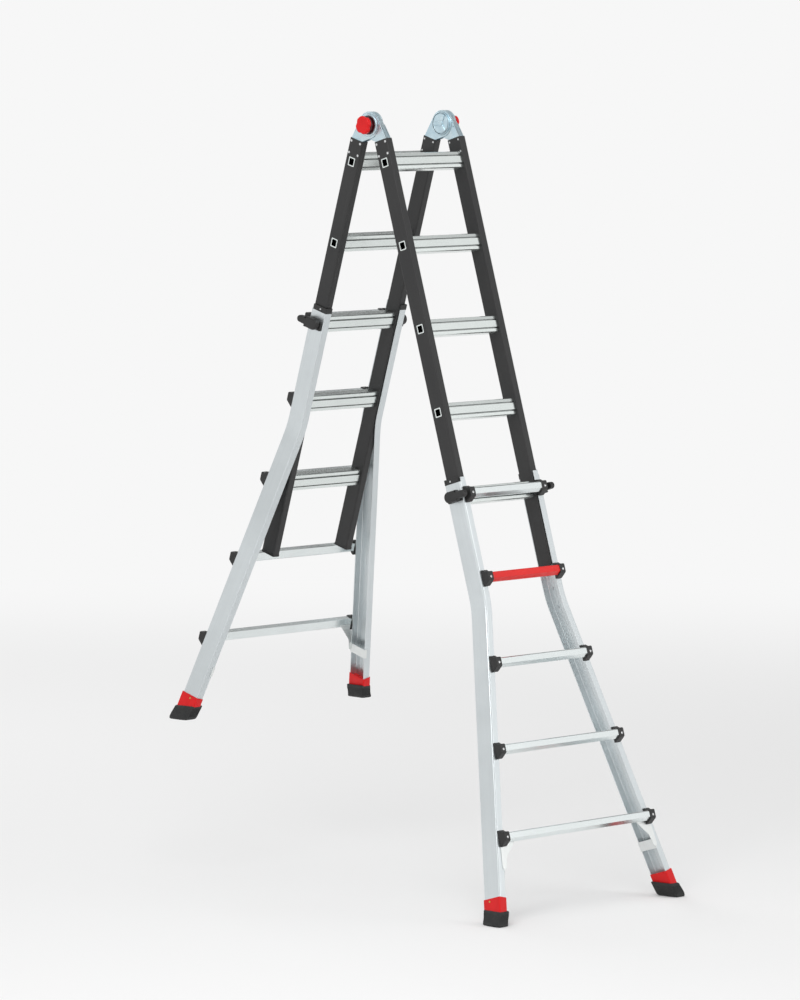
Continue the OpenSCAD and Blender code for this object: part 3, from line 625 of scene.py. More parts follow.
# A darker copy of the red plastic: painted shade for the knob's skirt and for the discs under the
# knob.
SHADED_RED = moulded("red_plastic_shaded", (74, 6, 14), 0.5, 0.12, spread=10)
RUBBER = rubber()
RIVET = plain_metal("bright_rivet", (226, 227, 228), 0.24)
BRASS = plain_metal("brass_rivet", (214, 186, 112), 0.30)
SPRING = plain_metal("spring_wire", (142, 144, 148), 0.30)
BUSH = plain_metal("turned_bush", (186, 190, 196), 0.28)
BRACE = extruded("brace_sheet", "front", (236, 239, 238), (0.34, 0.44))


def carry_over(node, material):
    """A CAD node that is shown as it is, with a finished material."""
    slots = frame["nodes"][node].data.materials
    slots.clear()
    slots.append(material)


for leg in LEGS:
    for x_side in SIDES:
        carry_over(f"{leg}_inner_stile_{x_side}", BLACK_COAT[leg])
        carry_over(f"{leg}_outer_stile_{x_side}", STILE[leg])
    for i in RUNGS:
        carry_over(f"{leg}_inner_rung_{i}", INNER_RUNG[leg])
    carry_over(f"{leg}_inner_end_plugs", BLACK_PLASTIC)
carry_over("hinge_pivot_bushes", BUSH)

# ------------------------------------------------------------------ outer rungs and brackets

RUNG_Y0 = OUTER_Y[1] + 2 * MM
BRACKET_Y1 = OUTER_Y[1] + 30.4 * MM
BRACKET_W = 25 * MM


def outer_rung_outline(shrink):
    """Section of an outer rung from its back: ribbed tread, front face and lower chamfer."""
    d = 26
    lower = [
        (d - 2 * shrink, 12 - shrink), (d - 2 * shrink, shrink - 6), (d - 14 - shrink, shrink - 16),
        (3, shrink - 16), (0, shrink - 12), (0, 13.5 - shrink), (1.5, 15 - shrink),
    ]
    tread = []
    if not shrink:
        for k in range(5):
            x = 3 + 4 * k
            tread += [(x, 15), (x + 0.6, 14.4), (x + 1.8, 14.4), (x + 2.4, 15)]
    tread.append((d - 3 - 2 * shrink, 15 - shrink))
    return [(x + shrink, y) for x, y in lower + tread][::-1]


def add_outer_rung(leg, i):
    node = f"{leg}_outer_rung_{i}"
    low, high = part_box(node)
    length = high.x - low.x
    outline = scaled(outer_rung_outline(0))
    hollow = scaled(outer_rung_outline(1.8))
    matrix = OUTER[leg] @ shift(-length / 2, RUNG_Y0, -(i - 1) * PITCH) @ ALONG_X
    red = leg == "front" and i == 2
    piece(f"{leg}_outer_rung_{i}_shell", [(prism(outline, length, 0, [hollow]), matrix)],
          f"{leg}_outer", RED_COAT if red else OUTER_RUNG[leg],
          [node], sharp=25)


def bracket_mesh():
    """Bell-shaped end bracket, standing on the flange at y = 0, hollowed for the rung's end."""
    bell = [
        (0, -26.5), (3, -27.5), (7, -27), (12, -23.5), (18.4, -19.5), (28.4, -12.5), (30.4, -9.5),
        (30.4, 15.5), (27.4, 18), (17, 18.6), (12, 21.5), (7, 25.5), (3, 26), (0, 25),
    ]
    body = prism(filleted(scaled(bell), 4 * MM), BRACKET_W, 1.8 * MM)
    hollow = prism(scaled([(x + 2, y) for x, y in outer_rung_outline(-0.15)]), BRACKET_W)
    hollow.transform(shift(z=-6 * MM))
    return without(body, hollow)


def dome(r, h, r_hole=0.0):
    """Low round rivet head, with the dimple that its broken mandrel leaves."""
    crown = [(r * math.cos(a), h * (0.25 + 0.75 * math.sin(a)))
             for a in (math.radians(15 * k) for k in range(1, 6))]
    head = [(0, -0.5 * MM), (r, -0.5 * MM), (r, 0.12 * h), *crown]
    if r_hole:
        head = [p for p in head if p[0] > 1.25 * r_hole or p[1] < 0]
        head += [(1.12 * r_hole, h), (r_hole, 0.92 * h), (0.92 * r_hole, 0.45 * h), (0, 0.4 * h)]
    else:
        head.append((0, h))
    return lathe(head)


BRACKET = bracket_mesh()
BRACKET_RIVET = dome(4.3 * MM, 2.0 * MM, 1.3 * MM)
TURN_OUT = Matrix.Rotation(math.radians(-90), 4, "X")

for leg in LEGS:
    brackets = []
    rivets = []
    for i in RUNGS:
        add_outer_rung(leg, i)
        for x_side in SIDES:
            level = OUTER[leg] @ mirrored(x_side) @ shift(z=-(i - 1) * PITCH)
            brackets.append((BRACKET, level @ shift(bracket_x(i) - BRACKET_W / 2, OUTER_Y[1])
                             @ ALONG_X))
            rivets.append((BRACKET_RIVET, level @ shift(bracket_x(i), BRACKET_Y1) @ TURN_OUT))
    piece(f"{leg}_bell_brackets", brackets, f"{leg}_outer", BLACK_PLASTIC,
          [f"{leg}_rung_brackets"])
    piece(f"{leg}_bracket_rivet_heads", rivets, f"{leg}_outer", RIVET,
          [f"{leg}_outer_rivets"])

# ------------------------------------------------------------------ guides and knee braces

OUTER_TOP = 43 * MM
GUIDE_H = 18 * MM
GUIDE_WALL = 3.6 * MM
WEB_GAP = 1.6 * MM
FACE_OUT = Matrix.Rotation(math.radians(90), 4, "Y")


def guide_mesh():
    """Guide round the web side and back of the inner stile."""
    x0, x1 = OUTER_X0, INNER_X[1] + WEB_GAP + GUIDE_WALL
    y0, y1 = OUTER_Y[0] - 0.7 * MM, OUTER_Y[0] + 61.3 * MM
    inner_x, inner_y = INNER_X[1] + WEB_GAP, INNER_Y[0] - 0.4 * MM
    r = 3 * MM
    outline = [(x0, y0), *arc(x1 - r, y0 + r, r, -90, 0, 5), (x1, y1 - 6 * MM),
               (x1 - 1.6 * MM, y1), (inner_x, y1), (inner_x, inner_y), (x0, inner_y)]
    return prism(outline, GUIDE_H, 0.7 * MM, steps=2)


def brace_mesh():
    """Gusset plate from its rung's rivet: it runs behind the rung and into a round-ended tab."""
    tab_r, tab_x, tab_y = 9, 12, -92
    shape = [(-66, -6), (-8, -62), *arc(tab_x, tab_y, tab_r, 180, 360, 12), (12, -28.5),
             (-14, -28.5), (-14, -6)]
    return prism(scaled(shape), BRACE_T, 0.45 * MM, steps=2)


BRACE_T = 2 * MM
GUIDE = guide_mesh()
BRACE_PLATE = brace_mesh()
STRAP_H = 33 * MM
STRAP_AT = (LAST_RUNG + 70 * MM - PITCH - FLARE_DROP) / math.cos(FLARE) - BEND_TANGENT
SMALL_RIVET = dome(3.2 * MM, 1.4 * MM, 0.9 * MM)


def strap_mesh():
    """Strap across the channel's mouth, folded round its back edge."""
    x0, y0, y1 = OUTER_X0 - BRACE_T, OUTER_Y[0] - BRACE_T, OUTER_Y[1] + BRACE_T
    lap = 10 * MM
    outline = [(x0 + lap, y0), (x0 + lap, y0 + BRACE_T), (x0 + BRACE_T, y0 + BRACE_T),
               (x0 + BRACE_T, y1), (x0, y1), (x0, y0)]
    return prism(filleted(outline, 1.2 * MM, 3), STRAP_H, 0.4 * MM, steps=2)


STRAP = strap_mesh()

for leg in LEGS:
    guides, braces, small_rivets, brass = [], [], [], []
    for x_side in SIDES:
        own = OUTER[leg] @ mirrored(x_side)
        guides.append((GUIDE, own @ shift(z=OUTER_TOP)))
        small_rivets.append((SMALL_RIVET, own @ shift(INNER_X[1] + WEB_GAP + GUIDE_WALL,
                                                      MID_Y - 7 * MM, OUTER_TOP + GUIDE_H / 2)
                             @ FACE_OUT))
        brass.append((SMALL_RIVET, own @ FLARED @ shift(OUTER_X1 + COLLAR_WALL, MID_Y - 8 * MM,
                                                       -FLARED_LEN + 12 * MM) @ FACE_OUT))
        braces.append((BRACE_PLATE, own @ shift(bracket_x(5), OUTER_Y[1], -LAST_RUNG) @ ALONG_Y))
        braces.append((STRAP, own @ FLARED @ shift(z=-STRAP_AT - STRAP_H)))
    piece(f"{leg}_guides", guides, f"{leg}_outer", BLACK_PLASTIC,
          [f"{leg}_stile_guides"])
    piece(f"{leg}_guide_rivet_heads", small_rivets, f"{leg}_outer", RIVET)
    piece(f"{leg}_collar_rivet_heads", brass, f"{leg}_outer", BRASS)
    piece(f"{leg}_braces", braces, f"{leg}_outer", BRACE, [f"{leg}_knee_braces"])

# ------------------------------------------------------------------ feet

COLLAR_UP = 22 * MM
RECESS = 10 * MM


def collar_solids(leg, x_side):
    """Red sleeve: a block cut level under the shoe's top, and a thin-walled cup above it."""
    x0, x1 = OUTER_X0 - COLLAR_WALL, OUTER_X1 + COLLAR_WALL
    y0, y1 = OUTER_Y[0] - COLLAR_WALL, OUTER_Y[1] + COLLAR_WALL
    outline = rectangle(x0, y0, x1, y1, 6 * MM, 6)
    well = rectangle(OUTER_X0, OUTER_Y[0], OUTER_X1, OUTER_Y[1], 4 * MM, 4)
    matrix = OUTER[leg] @ mirrored(x_side) @ FLARED
    floor_z = -FLARED_LEN + COLLAR_UP - RECESS
    block = prism(outline, 70 * MM, 0)
    plane = (0, 0, sole_z(leg) + SHOE_H - 3 * MM)
    block = cut_above(block, matrix @ shift(z=floor_z - 70 * MM), plane, (0, 0, -1))
    cup = prism(outline, RECESS, 0.9 * MM, [well], low_bevel=0)
    return [(block, Matrix.Identity(4)), (cup, matrix @ shift(z=floor_z))]


def shoe_mesh(leg, x_side):
    """Moulded shoe: level rings from a slightly rounded sole up to a rounded rim, finely ribbed."""
    at_x = OUTER_X1 + (SOLE_DROP - PITCH - FLARE_DROP) * math.tan(FLARE)
    inner = [(-25, -26), (3, -32), (22, -42), (75, -63)]
    outer = [(-25, 14), (2, 17), (30, 2), (75, -13)]

    def x_at(table, s):
        for (s0, x0), (s1, x1) in zip(table, table[1:]):
            if s <= s1:
                return x0 + (x1 - x0) * (s - s0) / (s1 - s0)
        return table[-1][1]

    y0, y1 = OUTER_Y[0] - COLLAR_WALL, OUTER_Y[1] + 7 * MM
    own = OUTER[leg] @ mirrored(x_side)
    leg_up = (own @ Vector((0, 0, 1)) - own @ Vector((0, 0, 0))).z
    outward = (own @ Vector((0, 1, 0)) - own @ Vector((0, 0, 0))).z
    sole = sole_z(leg)
    centre_z = (own @ Vector((0, 0, -SOLE_DROP))).z
    around = rectangle(-1, -1, 1, 1, 0.28, 6)
    ribs_per_side = 22
    dense = []
    for k in range(len(around)):
        a, b = Vector(around[k - 1]), Vector(around[k])
        cuts = max(1, round((b - a).length / 2 * ribs_per_side * 2))
        dense += [(a + (b - a) * j / cuts, (b - a).normalized()) for j in range(cuts)]
    levels = [(0.0, 5.0), (1.0, 2.2), (3.0, 0.5), (6.0, 0.0), (9.0, 0.0), (9.8, 0.0), (20.0, 0.0),
              (32.0, 0.0), (36.5, 0.0), (37.3, 0.0), (42.0, 0.0), (44.6, 0.6), (46.0, 2.4)]
    bm = bmesh.new()
    rings = []
    for height, inset in levels:
        ribbed = 9.5 < height < 37
        ring = []
        for k, (p, along) in enumerate(dense):
            y = (y0 + y1) / 2 + p.y * ((y1 - y0) / 2 - inset * MM)
            s = (sole + height * MM - centre_z - y * outward) / leg_up / MM
            low, high = x_at(inner, s) + inset, x_at(outer, s) - inset
            x = at_x + (low + high) / 2 * MM + p.x * (high - low) / 2 * MM
            local = Vector((x, y, (s * MM) - SOLE_DROP))
            if ribbed and k % 2:
                local -= Vector((along.y, -along.x, 0)) * 0.9 * MM
            place = own @ local
            place.z = sole + height * MM
            ring.append(bm.verts.new(place))
        rings.append(ring)
    for low, high in zip(rings, rings[1:]):
        for k in range(len(low)):
            bm.faces.new((low[k - 1], low[k], high[k], high[k - 1]))
    for ring in (rings[0], rings[-1]):
        bm.faces.new(ring)
    bmesh.ops.recalc_face_normals(bm, faces=bm.faces)
    mesh = bpy.data.meshes.new("shoe")
    bm.to_mesh(mesh)
    bm.free()
    return mesh


for leg in LEGS:
    collars, shoes = [], []
    for x_side in SIDES:
        collars += collar_solids(leg, x_side)
        shoes.append((shoe_mesh(leg, x_side), Matrix.Identity(4)))
    piece(f"{leg}_collars", collars, f"{leg}_outer", RED_PLASTIC,
          [f"{leg}_foot_collars"])
    piece(f"{leg}_shoes", shoes, f"{leg}_outer", RUBBER, [f"{leg}_foot_shoes"],
          sharp=40)

# ------------------------------------------------------------------ slide locks

STEM_R, STEM_RUN = 8 * MM, 0.1 * MM
LOCK_COLLAR_T = 1.2 * MM
SLIDE_PIN_R = 6 * MM
WEB_T = 3 * MM
GRIP_T = 19 * MM


def grip_outline():
    """A grip's rear block, tapered into a neck with a round front end."""
    block, neck = 18.5, 11.5
    upper = filleted([(36, neck), (33, neck), (25, block), (22, block)], 7)[1:-1]
    lower = [(x, -y) for x, y in upper[::-1]]
    return scaled(arc(54, 0, neck, -90, 90, 14) + upper + arc(-7, 0, block, 90, 270, 14) + lower)


def housing_solids():
    low, high = housing_low, housing_high
    outline = rectangle(low.y - MID_Y, low.z, high.y - MID_Y, high.z, 4 * MM)
    bore = circle(STEM_R + STEM_RUN)
    plate = prism(outline, HOUSING_T, 1.4 * MM, [bore])
    collar = prism(circle(10.5 * MM), LOCK_COLLAR_T, 0.5 * MM, [bore], low_bevel=0)
    face = OUTER_X1 + HOUSING_T - STEM_RUN
    return [(plate, shift(OUTER_X1, MID_Y) @ ALONG_X),
            (collar, shift(face - LOCK_COLLAR_T, MID_Y) @ ALONG_X)]


def handle_solids():
    """Grip with well rounded edges, on its stem, and the lock pin."""
    at = shift(housing_high.x, MID_Y)
    grip = prism(grip_outline(), GRIP_T, 4.2 * MM, steps=5, low_bevel=2 * MM)
    stem = prism(circle(STEM_R), HOUSING_T, 0.0)
    pin = prism(circle(SLIDE_PIN_R), WEB_T + 1 * MM, 0.8 * MM)
    return [(grip, at @ ALONG_X), (stem, shift(OUTER_X1, MID_Y) @ ALONG_X),
            (pin, shift(OUTER_X1 - WEB_T, MID_Y) @ ALONG_X)]


for leg in LEGS:
    housings = []
    for x_side in SIDES:
        own = OUTER[leg] @ mirrored(x_side)
        housings += [(mesh, own @ m) for mesh, m in housing_solids()]
        piece(f"{leg}_{x_side}_pull_handle", [(mesh, own @ m) for mesh, m in handle_solids()],
              f"slide_lock_{leg}_{x_side}", BLACK_PLASTIC,
              [f"lock_handle_{leg}_{x_side}"])
    piece(f"{leg}_housings", housings, f"{leg}_outer", BLACK_PLASTIC,
          [f"{leg}_lock_housings"])

# ------------------------------------------------------------------ hinges

HEAD_R = 44 * MM
PLATE_T = 3 * MM
INNER_WALL = 1.8 * MM
PLATE_OUT = INNER_X[1] - INNER_WALL
PLATE_IN = INNER_X[0] + INNER_WALL
PLATE_GAP = 0.3 * MM
HEAD_OUT = PLATE_OUT - 2 * PLATE_T - PLATE_GAP
HEAD_IN = PLATE_IN + PLATE_T + PLATE_GAP
CHEEK_T = 2 * PLATE_T + PLATE_GAP
LEAST_CHEEK = 0.3 * MM
CHEEK_R = HEAD_R + 1.2 * MM
CHEEK_Y, CHEEK_TOP = 18 * MM, 12 * MM
TANG_W = 49 * MM
TANG_END = 100 * MM
BUSH_R = 11.05 * MM
RING_R, RING_IN, RING_T = 37.5 * MM, 29 * MM, 3.5 * MM
KNOB_X0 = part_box("hinge_knob_right")[0].x
KNOB_X1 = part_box("hinge_knob_right")[1].x
KNOB_HEAD_X = KNOB_X1 - 13 * MM
SPIDER_X = INNER_X[0] - 7 * MM


def head_outline(inset=0.0):
    """Round head on the hinge axis, run by two tangents into the strip in the stile."""
    y0, y1 = MID_Y - TANG_W / 2 + inset, MID_Y + TANG_W / 2 - inset
    r = HEAD_R - inset
    a0 = math.degrees(math.atan2(y0, INNER_TOP) - math.acos(r / math.hypot(y0, INNER_TOP))) - 90
    a1 = math.degrees(math.atan2(y1, INNER_TOP) + math.acos(r / math.hypot(y1, INNER_TOP))) - 90
    return [(y1, -INNER_TOP), *arc(0, 0, r, a1, a0 + 360, 72), (y0, -INNER_TOP),
            (y0, -TANG_END), (y1, -TANG_END)]


def neck_of(outline):
    """The part of a plate's outline above the stile's top end, as an open path."""
    return [p for p in outline if p[1] > -INNER_TOP - 1e-6]


def reach(outline, angle):
    """Distance from the hinge axis to an outline in one direction."""
    ray = Vector((math.cos(angle), math.sin(angle)))
    best = 0.0
    for k in range(len(outline)):
        a, b = Vector(outline[k - 1]), Vector(outline[k])
        side = b - a
        cross = ray.x * side.y - ray.y * side.x
        if abs(cross) < 1e-12:
            continue
        t = (a.x * side.y - a.y * side.x) / cross
        u = (a.x * ray.y - a.y * ray.x) / cross
        if t > 0 and -1e-9 <= u <= 1 + 1e-9:
            best = max(best, t)
    return best


def cheek_outline():
    """Part of the front plate's neck that the rear plate never reaches, folded or straight."""
    own = head_outline()
    near, far = [], []
    for k in range(1, 180):
        a = math.radians(-90 + k * 0.5)
        inside = max(CHEEK_R, CHEEK_Y / math.cos(a), CHEEK_TOP / -math.sin(a))
        outside = min(reach(own, a), INNER_TOP / -math.sin(a))
        if outside > inside + LEAST_CHEEK:
            near.append((inside * math.cos(a), inside * math.sin(a)))
            far.append((outside * math.cos(a), outside * math.sin(a)))
    return far + near[::-1]


def ring_of(section, steps=96):
    """Closed ring about z with this section of (radius, height) points."""
    bm = bmesh.new()
    rings = []
    for k in range(steps):
        a = 2 * math.pi * k / steps
        rings.append([bm.verts.new((r * math.cos(a), r * math.sin(a), z)) for r, z in section])
    for k in range(steps):
        low, high = rings[k - 1], rings[k]
        for j in range(len(section)):
            bm.faces.new((low[j - 1], low[j], high[j], high[j - 1]))
    bmesh.ops.recalc_face_normals(bm, faces=bm.faces)
    mesh = bpy.data.meshes.new("ring")
    bm.to_mesh(mesh)
    bm.free()
    return mesh


FACE_IN = Matrix.Rotation(math.radians(-90), 4, "Y")
REAR_HOLE = circle(2 * MM, 50 * MM, -34 * MM, 20)
FRONT_HOLE = circle(2 * MM, 47 * MM, -24 * MM, 20)


def rear_plate_solids():
    """Outer pair of the hinge. The outermost plate has a rolled ring round the knob, and the
    innermost one a raised rim round the lock disc."""
    flat = head_outline()
    outer = prism(flat, PLATE_T, 0.7 * MM, [circle(BUSH_R), REAR_HOLE])
    mid, half = (RING_R + RING_IN) / 2, (RING_R - RING_IN) / 2
    roll = [(mid - half, -0.4 * MM), (mid + half, -0.4 * MM)]
    roll += [(mid + half * math.cos(a), 0.3 * MM + (RING_T - 0.3 * MM) * math.sin(a) ** 0.7)
             for a in (math.radians(15 * k) for k in range(13))]
    rim = scaled([(35.5, -0.4), (38, -0.4), (38, 6), (37.4, 6.8), (36.6, 7), (35.9, 6.8),
                  (35.5, 6.2)])
    step = scaled([(38, -0.4), (41.2, -0.4), (40.6, 0.9), (39.6, 1.3), (38, 1.3)])
    return [
        (outer, shift(PLATE_OUT - PLATE_T) @ ALONG_X), (outer, shift(PLATE_IN) @ ALONG_X),
        (ring_of(roll), shift(PLATE_OUT) @ FACE_OUT),
        (ring_of(rim), shift(PLATE_IN) @ FACE_IN), (ring_of(step), shift(PLATE_IN) @ FACE_IN),
    ]


def front_plate_solids():
    """Inner pair of the hinge, thicker past the rear plates' heads and closed by an edge wall."""
    head = prism(neck_of(head_outline()), PLATE_T, 0.6 * MM, [circle(BUSH_R)])
    cheek = prism(cheek_outline(), CHEEK_T, 0.6 * MM, [FRONT_HOLE], low_bevel=0.0)
    y0, y1 = MID_Y - TANG_W / 2, MID_Y + TANG_W / 2
    strip = prism(rectangle(y0, -TANG_END, y1, 1 * MM - INNER_TOP, 0.5 * MM), PLATE_T, 0.3 * MM)
    wall = neck_of(head_outline()) + neck_of(head_outline(3 * MM))[::-1]
    depth = (HEAD_OUT - HEAD_IN - PLATE_T) / 2
    rim = prism(wall, depth, 0.5 * MM, steps=2)
    seam = neck_of(head_outline(0.8 * MM)) + neck_of(head_outline(2.6 * MM))[::-1]
    fill = prism(seam, 2 * depth - 1 * MM)
    turned = Matrix.Diagonal((1, 1, -1, 1))
    return [
        (head, shift(HEAD_OUT) @ ALONG_X), (head, shift(HEAD_IN) @ ALONG_X),
        (cheek, shift(HEAD_OUT) @ ALONG_X),
        (cheek, shift(HEAD_IN + PLATE_T) @ ALONG_X @ turned),
        (strip, shift(PLATE_OUT - PLATE_T) @ ALONG_X), (strip, shift(PLATE_IN) @ ALONG_X),
        (rim, shift(HEAD_IN + PLATE_T) @ ALONG_X),
        (rim, shift(HEAD_IN + PLATE_T + depth) @ ALONG_X),
        (fill, shift(HEAD_IN + PLATE_T + 0.5 * MM) @ ALONG_X),
    ]


def knob_outline(r, notch):
    """Four broad lobes on the diagonals, parted by rounded notches."""
    points = []
    for k in range(144):
        a = 360 * k / 144
        off = (a + 45) % 90 - 45
        reach_here = r - notch * math.exp(-((off / 15) ** 2))
        points.append((reach_here * math.cos(math.radians(a)),
                       reach_here * math.sin(math.radians(a))))
    return points


def knob_face_solids():
    thick = KNOB_X1 - KNOB_HEAD_X
    body = prism(knob_outline(30.5 * MM, 4.0 * MM), thick, 4.4 * MM, steps=6,
                 low_bevel=1.2 * MM)
    return [(body, shift(KNOB_HEAD_X) @ ALONG_X)]


def knob_core_solids():
    """Hollow skirt behind the knob's lobes, ribbed round its outside; its darker red is painted
    shade.
    """
    outline = []
    for k in range(192):
        a = 2 * math.pi * k / 192
        r = 26.5 * MM - 0.9 * MM * max(0.0, math.cos(12 * a)) ** 2
        outline.append((r * math.cos(a), r * math.sin(a)))
    depth = KNOB_HEAD_X - KNOB_X0 + 0.2 * MM
    skirt = prism(outline, depth, 0.0, [circle(23.5 * MM, steps=64)], low_bevel=0.6 * MM)
    sleeve = prism(circle(8 * MM), depth, 0.0, [circle(6.4 * MM)], low_bevel=0.4 * MM)
    return [(skirt, shift(KNOB_X0) @ ALONG_X), (sleeve, shift(KNOB_X0 + 4 * MM) @ ALONG_X)]


def spider_solids():
    """Lock disc with a smooth three-armed star on it, the shaft and the three pins."""
    star = []
    for k in range(180):
        a = 2 * math.degrees(math.pi) * k / 180
        off = (a - LOCK_TURN + 60) % 120 - 60
        r = (11 + 22 * math.exp(-((off / 19) ** 2))) * MM
        star.append((r * math.cos(math.radians(a)), r * math.sin(math.radians(a))))
    pin_r, at = 26 * MM, SPIDER_X
    turned = Matrix.Diagonal((1, 1, -1, 1))
    disc = lathe(scaled([(0, 0), (33.5, 0), (33.5, 2.6), (33, 3.2), (31.6, 3.2), (31, 2.4),
                         (0, 2.4)]), 96)
    raised = prism(star, 3 * MM, 1.2 * MM, steps=3, low_bevel=0.0)
    hub = lathe(scaled([(0, 0), (9, 0), (9, 7), (8.4, 7.8), (7.4, 8), (5.6, 8), (5.2, 7.4),
                        (0, 7.4)]), 48)
    shaft = prism(circle(6 * MM), KNOB_X1 - 4 * MM - at, 0.6 * MM)
    solids = [
        (disc, shift(at + 5.5 * MM) @ FACE_IN),
        (raised, shift(at + 3.2 * MM) @ ALONG_X @ turned),
        (hub, shift(at + 6 * MM) @ FACE_IN),
        (shaft, shift(at + 1 * MM) @ ALONG_X),
    ]
    for k in range(3):
        a = math.radians(LOCK_TURN + 120 * k)
        pin = prism(circle(LOCK_PIN_R, pin_r * math.cos(a), pin_r * math.sin(a), 24),
                    PLATE_IN + PLATE_T - at - 4 * MM, 0.3 * MM)
        solids.append((pin, shift(at + 4 * MM) @ ALONG_X))
    return solids


def spring_path():
    coils, r = 4, 9 * MM
    start, end = PLATE_OUT + 3.3 * MM, KNOB_HEAD_X - 8.8 * MM
    count = int(coils * 28)
    return [
        Vector((start + (end - start) * k / count, r * math.cos(2 * math.pi * coils * k / count),
                r * math.sin(2 * math.pi * coils * k / count)))
        for k in range(count + 1)
    ]


LOCK_PIN_R = 4.5 * MM
LOCK_TURN = 100
# Thin dark red disc on the outermost plate inside its rolled ring: painted shade under the knob.
SHADE_DISC = ring_of(scaled([(15.4, 0), (28.7, 0), (28.7, 0.3), (15.4, 0.3)]))
HINGE_RIVET = dome(4.3 * MM, 1.15 * MM, 1.3 * MM)
RIVET_TAIL = dome(3.4 * MM, 1.2 * MM)
RIVET_ROWS = (71 * MM, 111 * MM)
RIVET_Y = 20.3 * MM

springs, shade_discs = [], []
for x_side in SIDES:
    own = {leg: LEG[leg] @ mirrored(x_side) for leg in LEGS}
    piece(f"rear_hinge_{x_side}_plates", [(m, own["rear"] @ t) for m, t in rear_plate_solids()],
          "rear_inner", ZINC, [f"rear_hinge_plates_{x_side}"])
    piece(f"front_hinge_{x_side}_plates", [(m, own["front"] @ t) for m, t in front_plate_solids()],
          "front_inner", ZINC, [f"front_hinge_plates_{x_side}"])
    piece(f"knob_{x_side}", [(m, own["rear"] @ t) for m, t in knob_face_solids()],
          f"hinge_lock_{x_side}", RED_PLASTIC, [f"hinge_knob_{x_side}"])
    piece(f"knob_core_{x_side}", [(m, own["rear"] @ t) for m, t in knob_core_solids()],
          f"hinge_lock_{x_side}", SHADED_RED)
    piece(f"lock_disc_{x_side}", [(m, own["rear"] @ t) for m, t in spider_solids()],
          f"hinge_lock_{x_side}", ZINC, [f"lock_spider_{x_side}"])
    shade_discs.append((SHADE_DISC, own["rear"] @ shift(PLATE_OUT) @ FACE_OUT))
    springs.append((tube(spring_path(), 0.7 * MM), own["rear"]))
piece("hinge_coil_springs", springs, "rear_inner", SPRING, ["hinge_springs"],
      sharp=60)
# The dark discs under the knobs are painted shade.
piece("hinge_shade_discs", shade_discs, "rear_inner", SHADED_RED)

for leg in LEGS:
    heads = []
    for x_side in SIDES:
        own = LEG[leg] @ mirrored(x_side)
        for row in RIVET_ROWS:
            for y in (-RIVET_Y, RIVET_Y):
                heads.append((HINGE_RIVET, own @ shift(INNER_X[1], MID_Y + y, -row) @ FACE_OUT))
                heads.append((RIVET_TAIL, own @ shift(INNER_X[0], MID_Y + y, -row) @ FACE_IN))
    piece(f"{leg}_hinge_rivet_heads", heads, f"{leg}_inner", RIVET,
          [f"{leg}_hinge_rivets"])

# ------------------------------------------------------------------ stage, light and camera

FLOOR_R = 400.0
BACKDROP = 0.93


def floor_material():
    """Matt white floor that turns into an even glow away from the ladder."""
    s = Shader("pale_floor")
    reach = s.node("ShaderNodeVectorMath", {0: s.place}, "Value", operation="LENGTH")
    far = s.node("ShaderNodeMapRange", {0: reach, 1: 1.5, 2: 10.0},
                 interpolation_type="SMOOTHSTEP")
    color = s.mix(far, (0.86, 0.86, 0.86, 1), (0, 0, 0, 1))
    s.links.new(s.math("MULTIPLY", far, BACKDROP), s.bsdf.inputs["Emission Strength"])
    s.bsdf.inputs["Emission Color"].default_value = (1, 1, 1, 1)
    return s.finish(color, 0.9, specular=0.0)


floor_mesh = bpy.data.meshes.new("floor")
floor_mesh.from_pydata([(x, y, -0.2 * MM) for x, y in circle(FLOOR_R, steps=48)], [],
                       [range(48)])
floor_mesh.materials.append(floor_material())
floor = bpy.data.objects.new("floor", floor_mesh)
bpy.context.scene.collection.objects.link(floor)

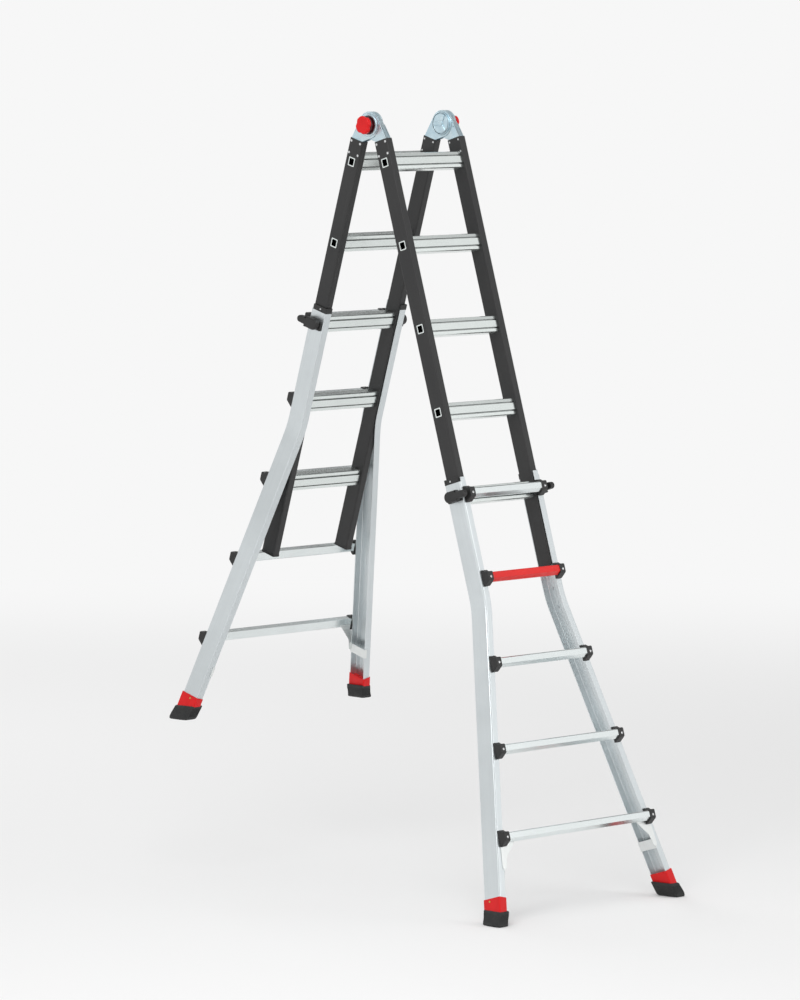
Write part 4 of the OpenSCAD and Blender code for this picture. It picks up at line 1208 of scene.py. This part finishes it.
world = bpy.data.worlds.new("studio")
bpy.context.scene.world = world
world.use_nodes = True
tree = world.node_tree
background = tree.nodes["Background"]
coords = tree.nodes.new("ShaderNodeTexCoord")
split = tree.nodes.new("ShaderNodeSeparateXYZ")
ramp = tree.nodes.new("ShaderNodeValToRGB")
tree.links.new(coords.outputs["Generated"], split.inputs[0])
tree.links.new(split.outputs[2], ramp.inputs[0])
tree.links.new(ramp.outputs[0], background.inputs[0])
SKY = ((0.0, BACKDROP), (0.34, 0.90), (0.50, 0.35), (0.72, 0.35), (0.92, 1.0))
for k, (height, level) in enumerate(SKY):
    stops = ramp.color_ramp.elements
    stop = stops[k] if k < 2 else stops.new(height)
    stop.position = height
    stop.color = (level, level, level, 1)
background.inputs[1].default_value = 1.0

centre = (cad_box[0] + cad_box[1]) / 2


def softbox(name, offset, size, power):
    light = bpy.data.lights.new(name, "AREA")
    light.shape = "RECTANGLE"
    light.size, light.size_y = size
    light.energy = power
    obj = bpy.data.objects.new(name, light)
    obj.location = centre + Vector(offset)
    obj.rotation_mode = "QUATERNION"
    obj.rotation_quaternion = (-Vector(offset)).to_track_quat("-Z", "Y")
    bpy.context.scene.collection.objects.link(obj)


softbox("key", (-4.2, -2.6, 4.6), (4.0, 4.0), 190)
softbox("fill", (2.5, -6.0, 2.0), (3.0, 4.0), 60)
softbox("back", (1.5, 5.6, 3.6), (3.0, 3.0), 90)

CAMERA_AZIMUTH = math.radians(-46.306)
CAMERA_ELEVATION = math.radians(5.051)
CAMERA_ROLL = math.radians(0.051)
CAMERA_DISTANCE = 19.097
AIM = HINGE + Vector((0, 0.0347, -1.2440))


def add_camera():
    flat = math.cos(CAMERA_ELEVATION)
    back = Vector((math.sin(CAMERA_AZIMUTH) * flat, -math.cos(CAMERA_AZIMUTH) * flat,
                   math.sin(CAMERA_ELEVATION)))
    right = Vector((math.cos(CAMERA_AZIMUTH), math.sin(CAMERA_AZIMUTH), 0))
    up = back.cross(right)
    right, up = (right * math.cos(CAMERA_ROLL) + up * math.sin(CAMERA_ROLL),
                 up * math.cos(CAMERA_ROLL) - right * math.sin(CAMERA_ROLL))
    data = bpy.data.cameras.new("camera")
    data.sensor_width = 36
    data.lens = 207.45
    data.clip_end = 300
    camera = bpy.data.objects.new("camera", data)
    matrix = Matrix((right, up, back)).transposed().to_4x4()
    matrix.translation = AIM + back * CAMERA_DISTANCE
    camera.matrix_world = matrix
    bpy.context.scene.collection.objects.link(camera)
    bpy.context.scene.camera = camera


add_camera()
bpy.context.scene.view_settings.view_transform = "Standard"
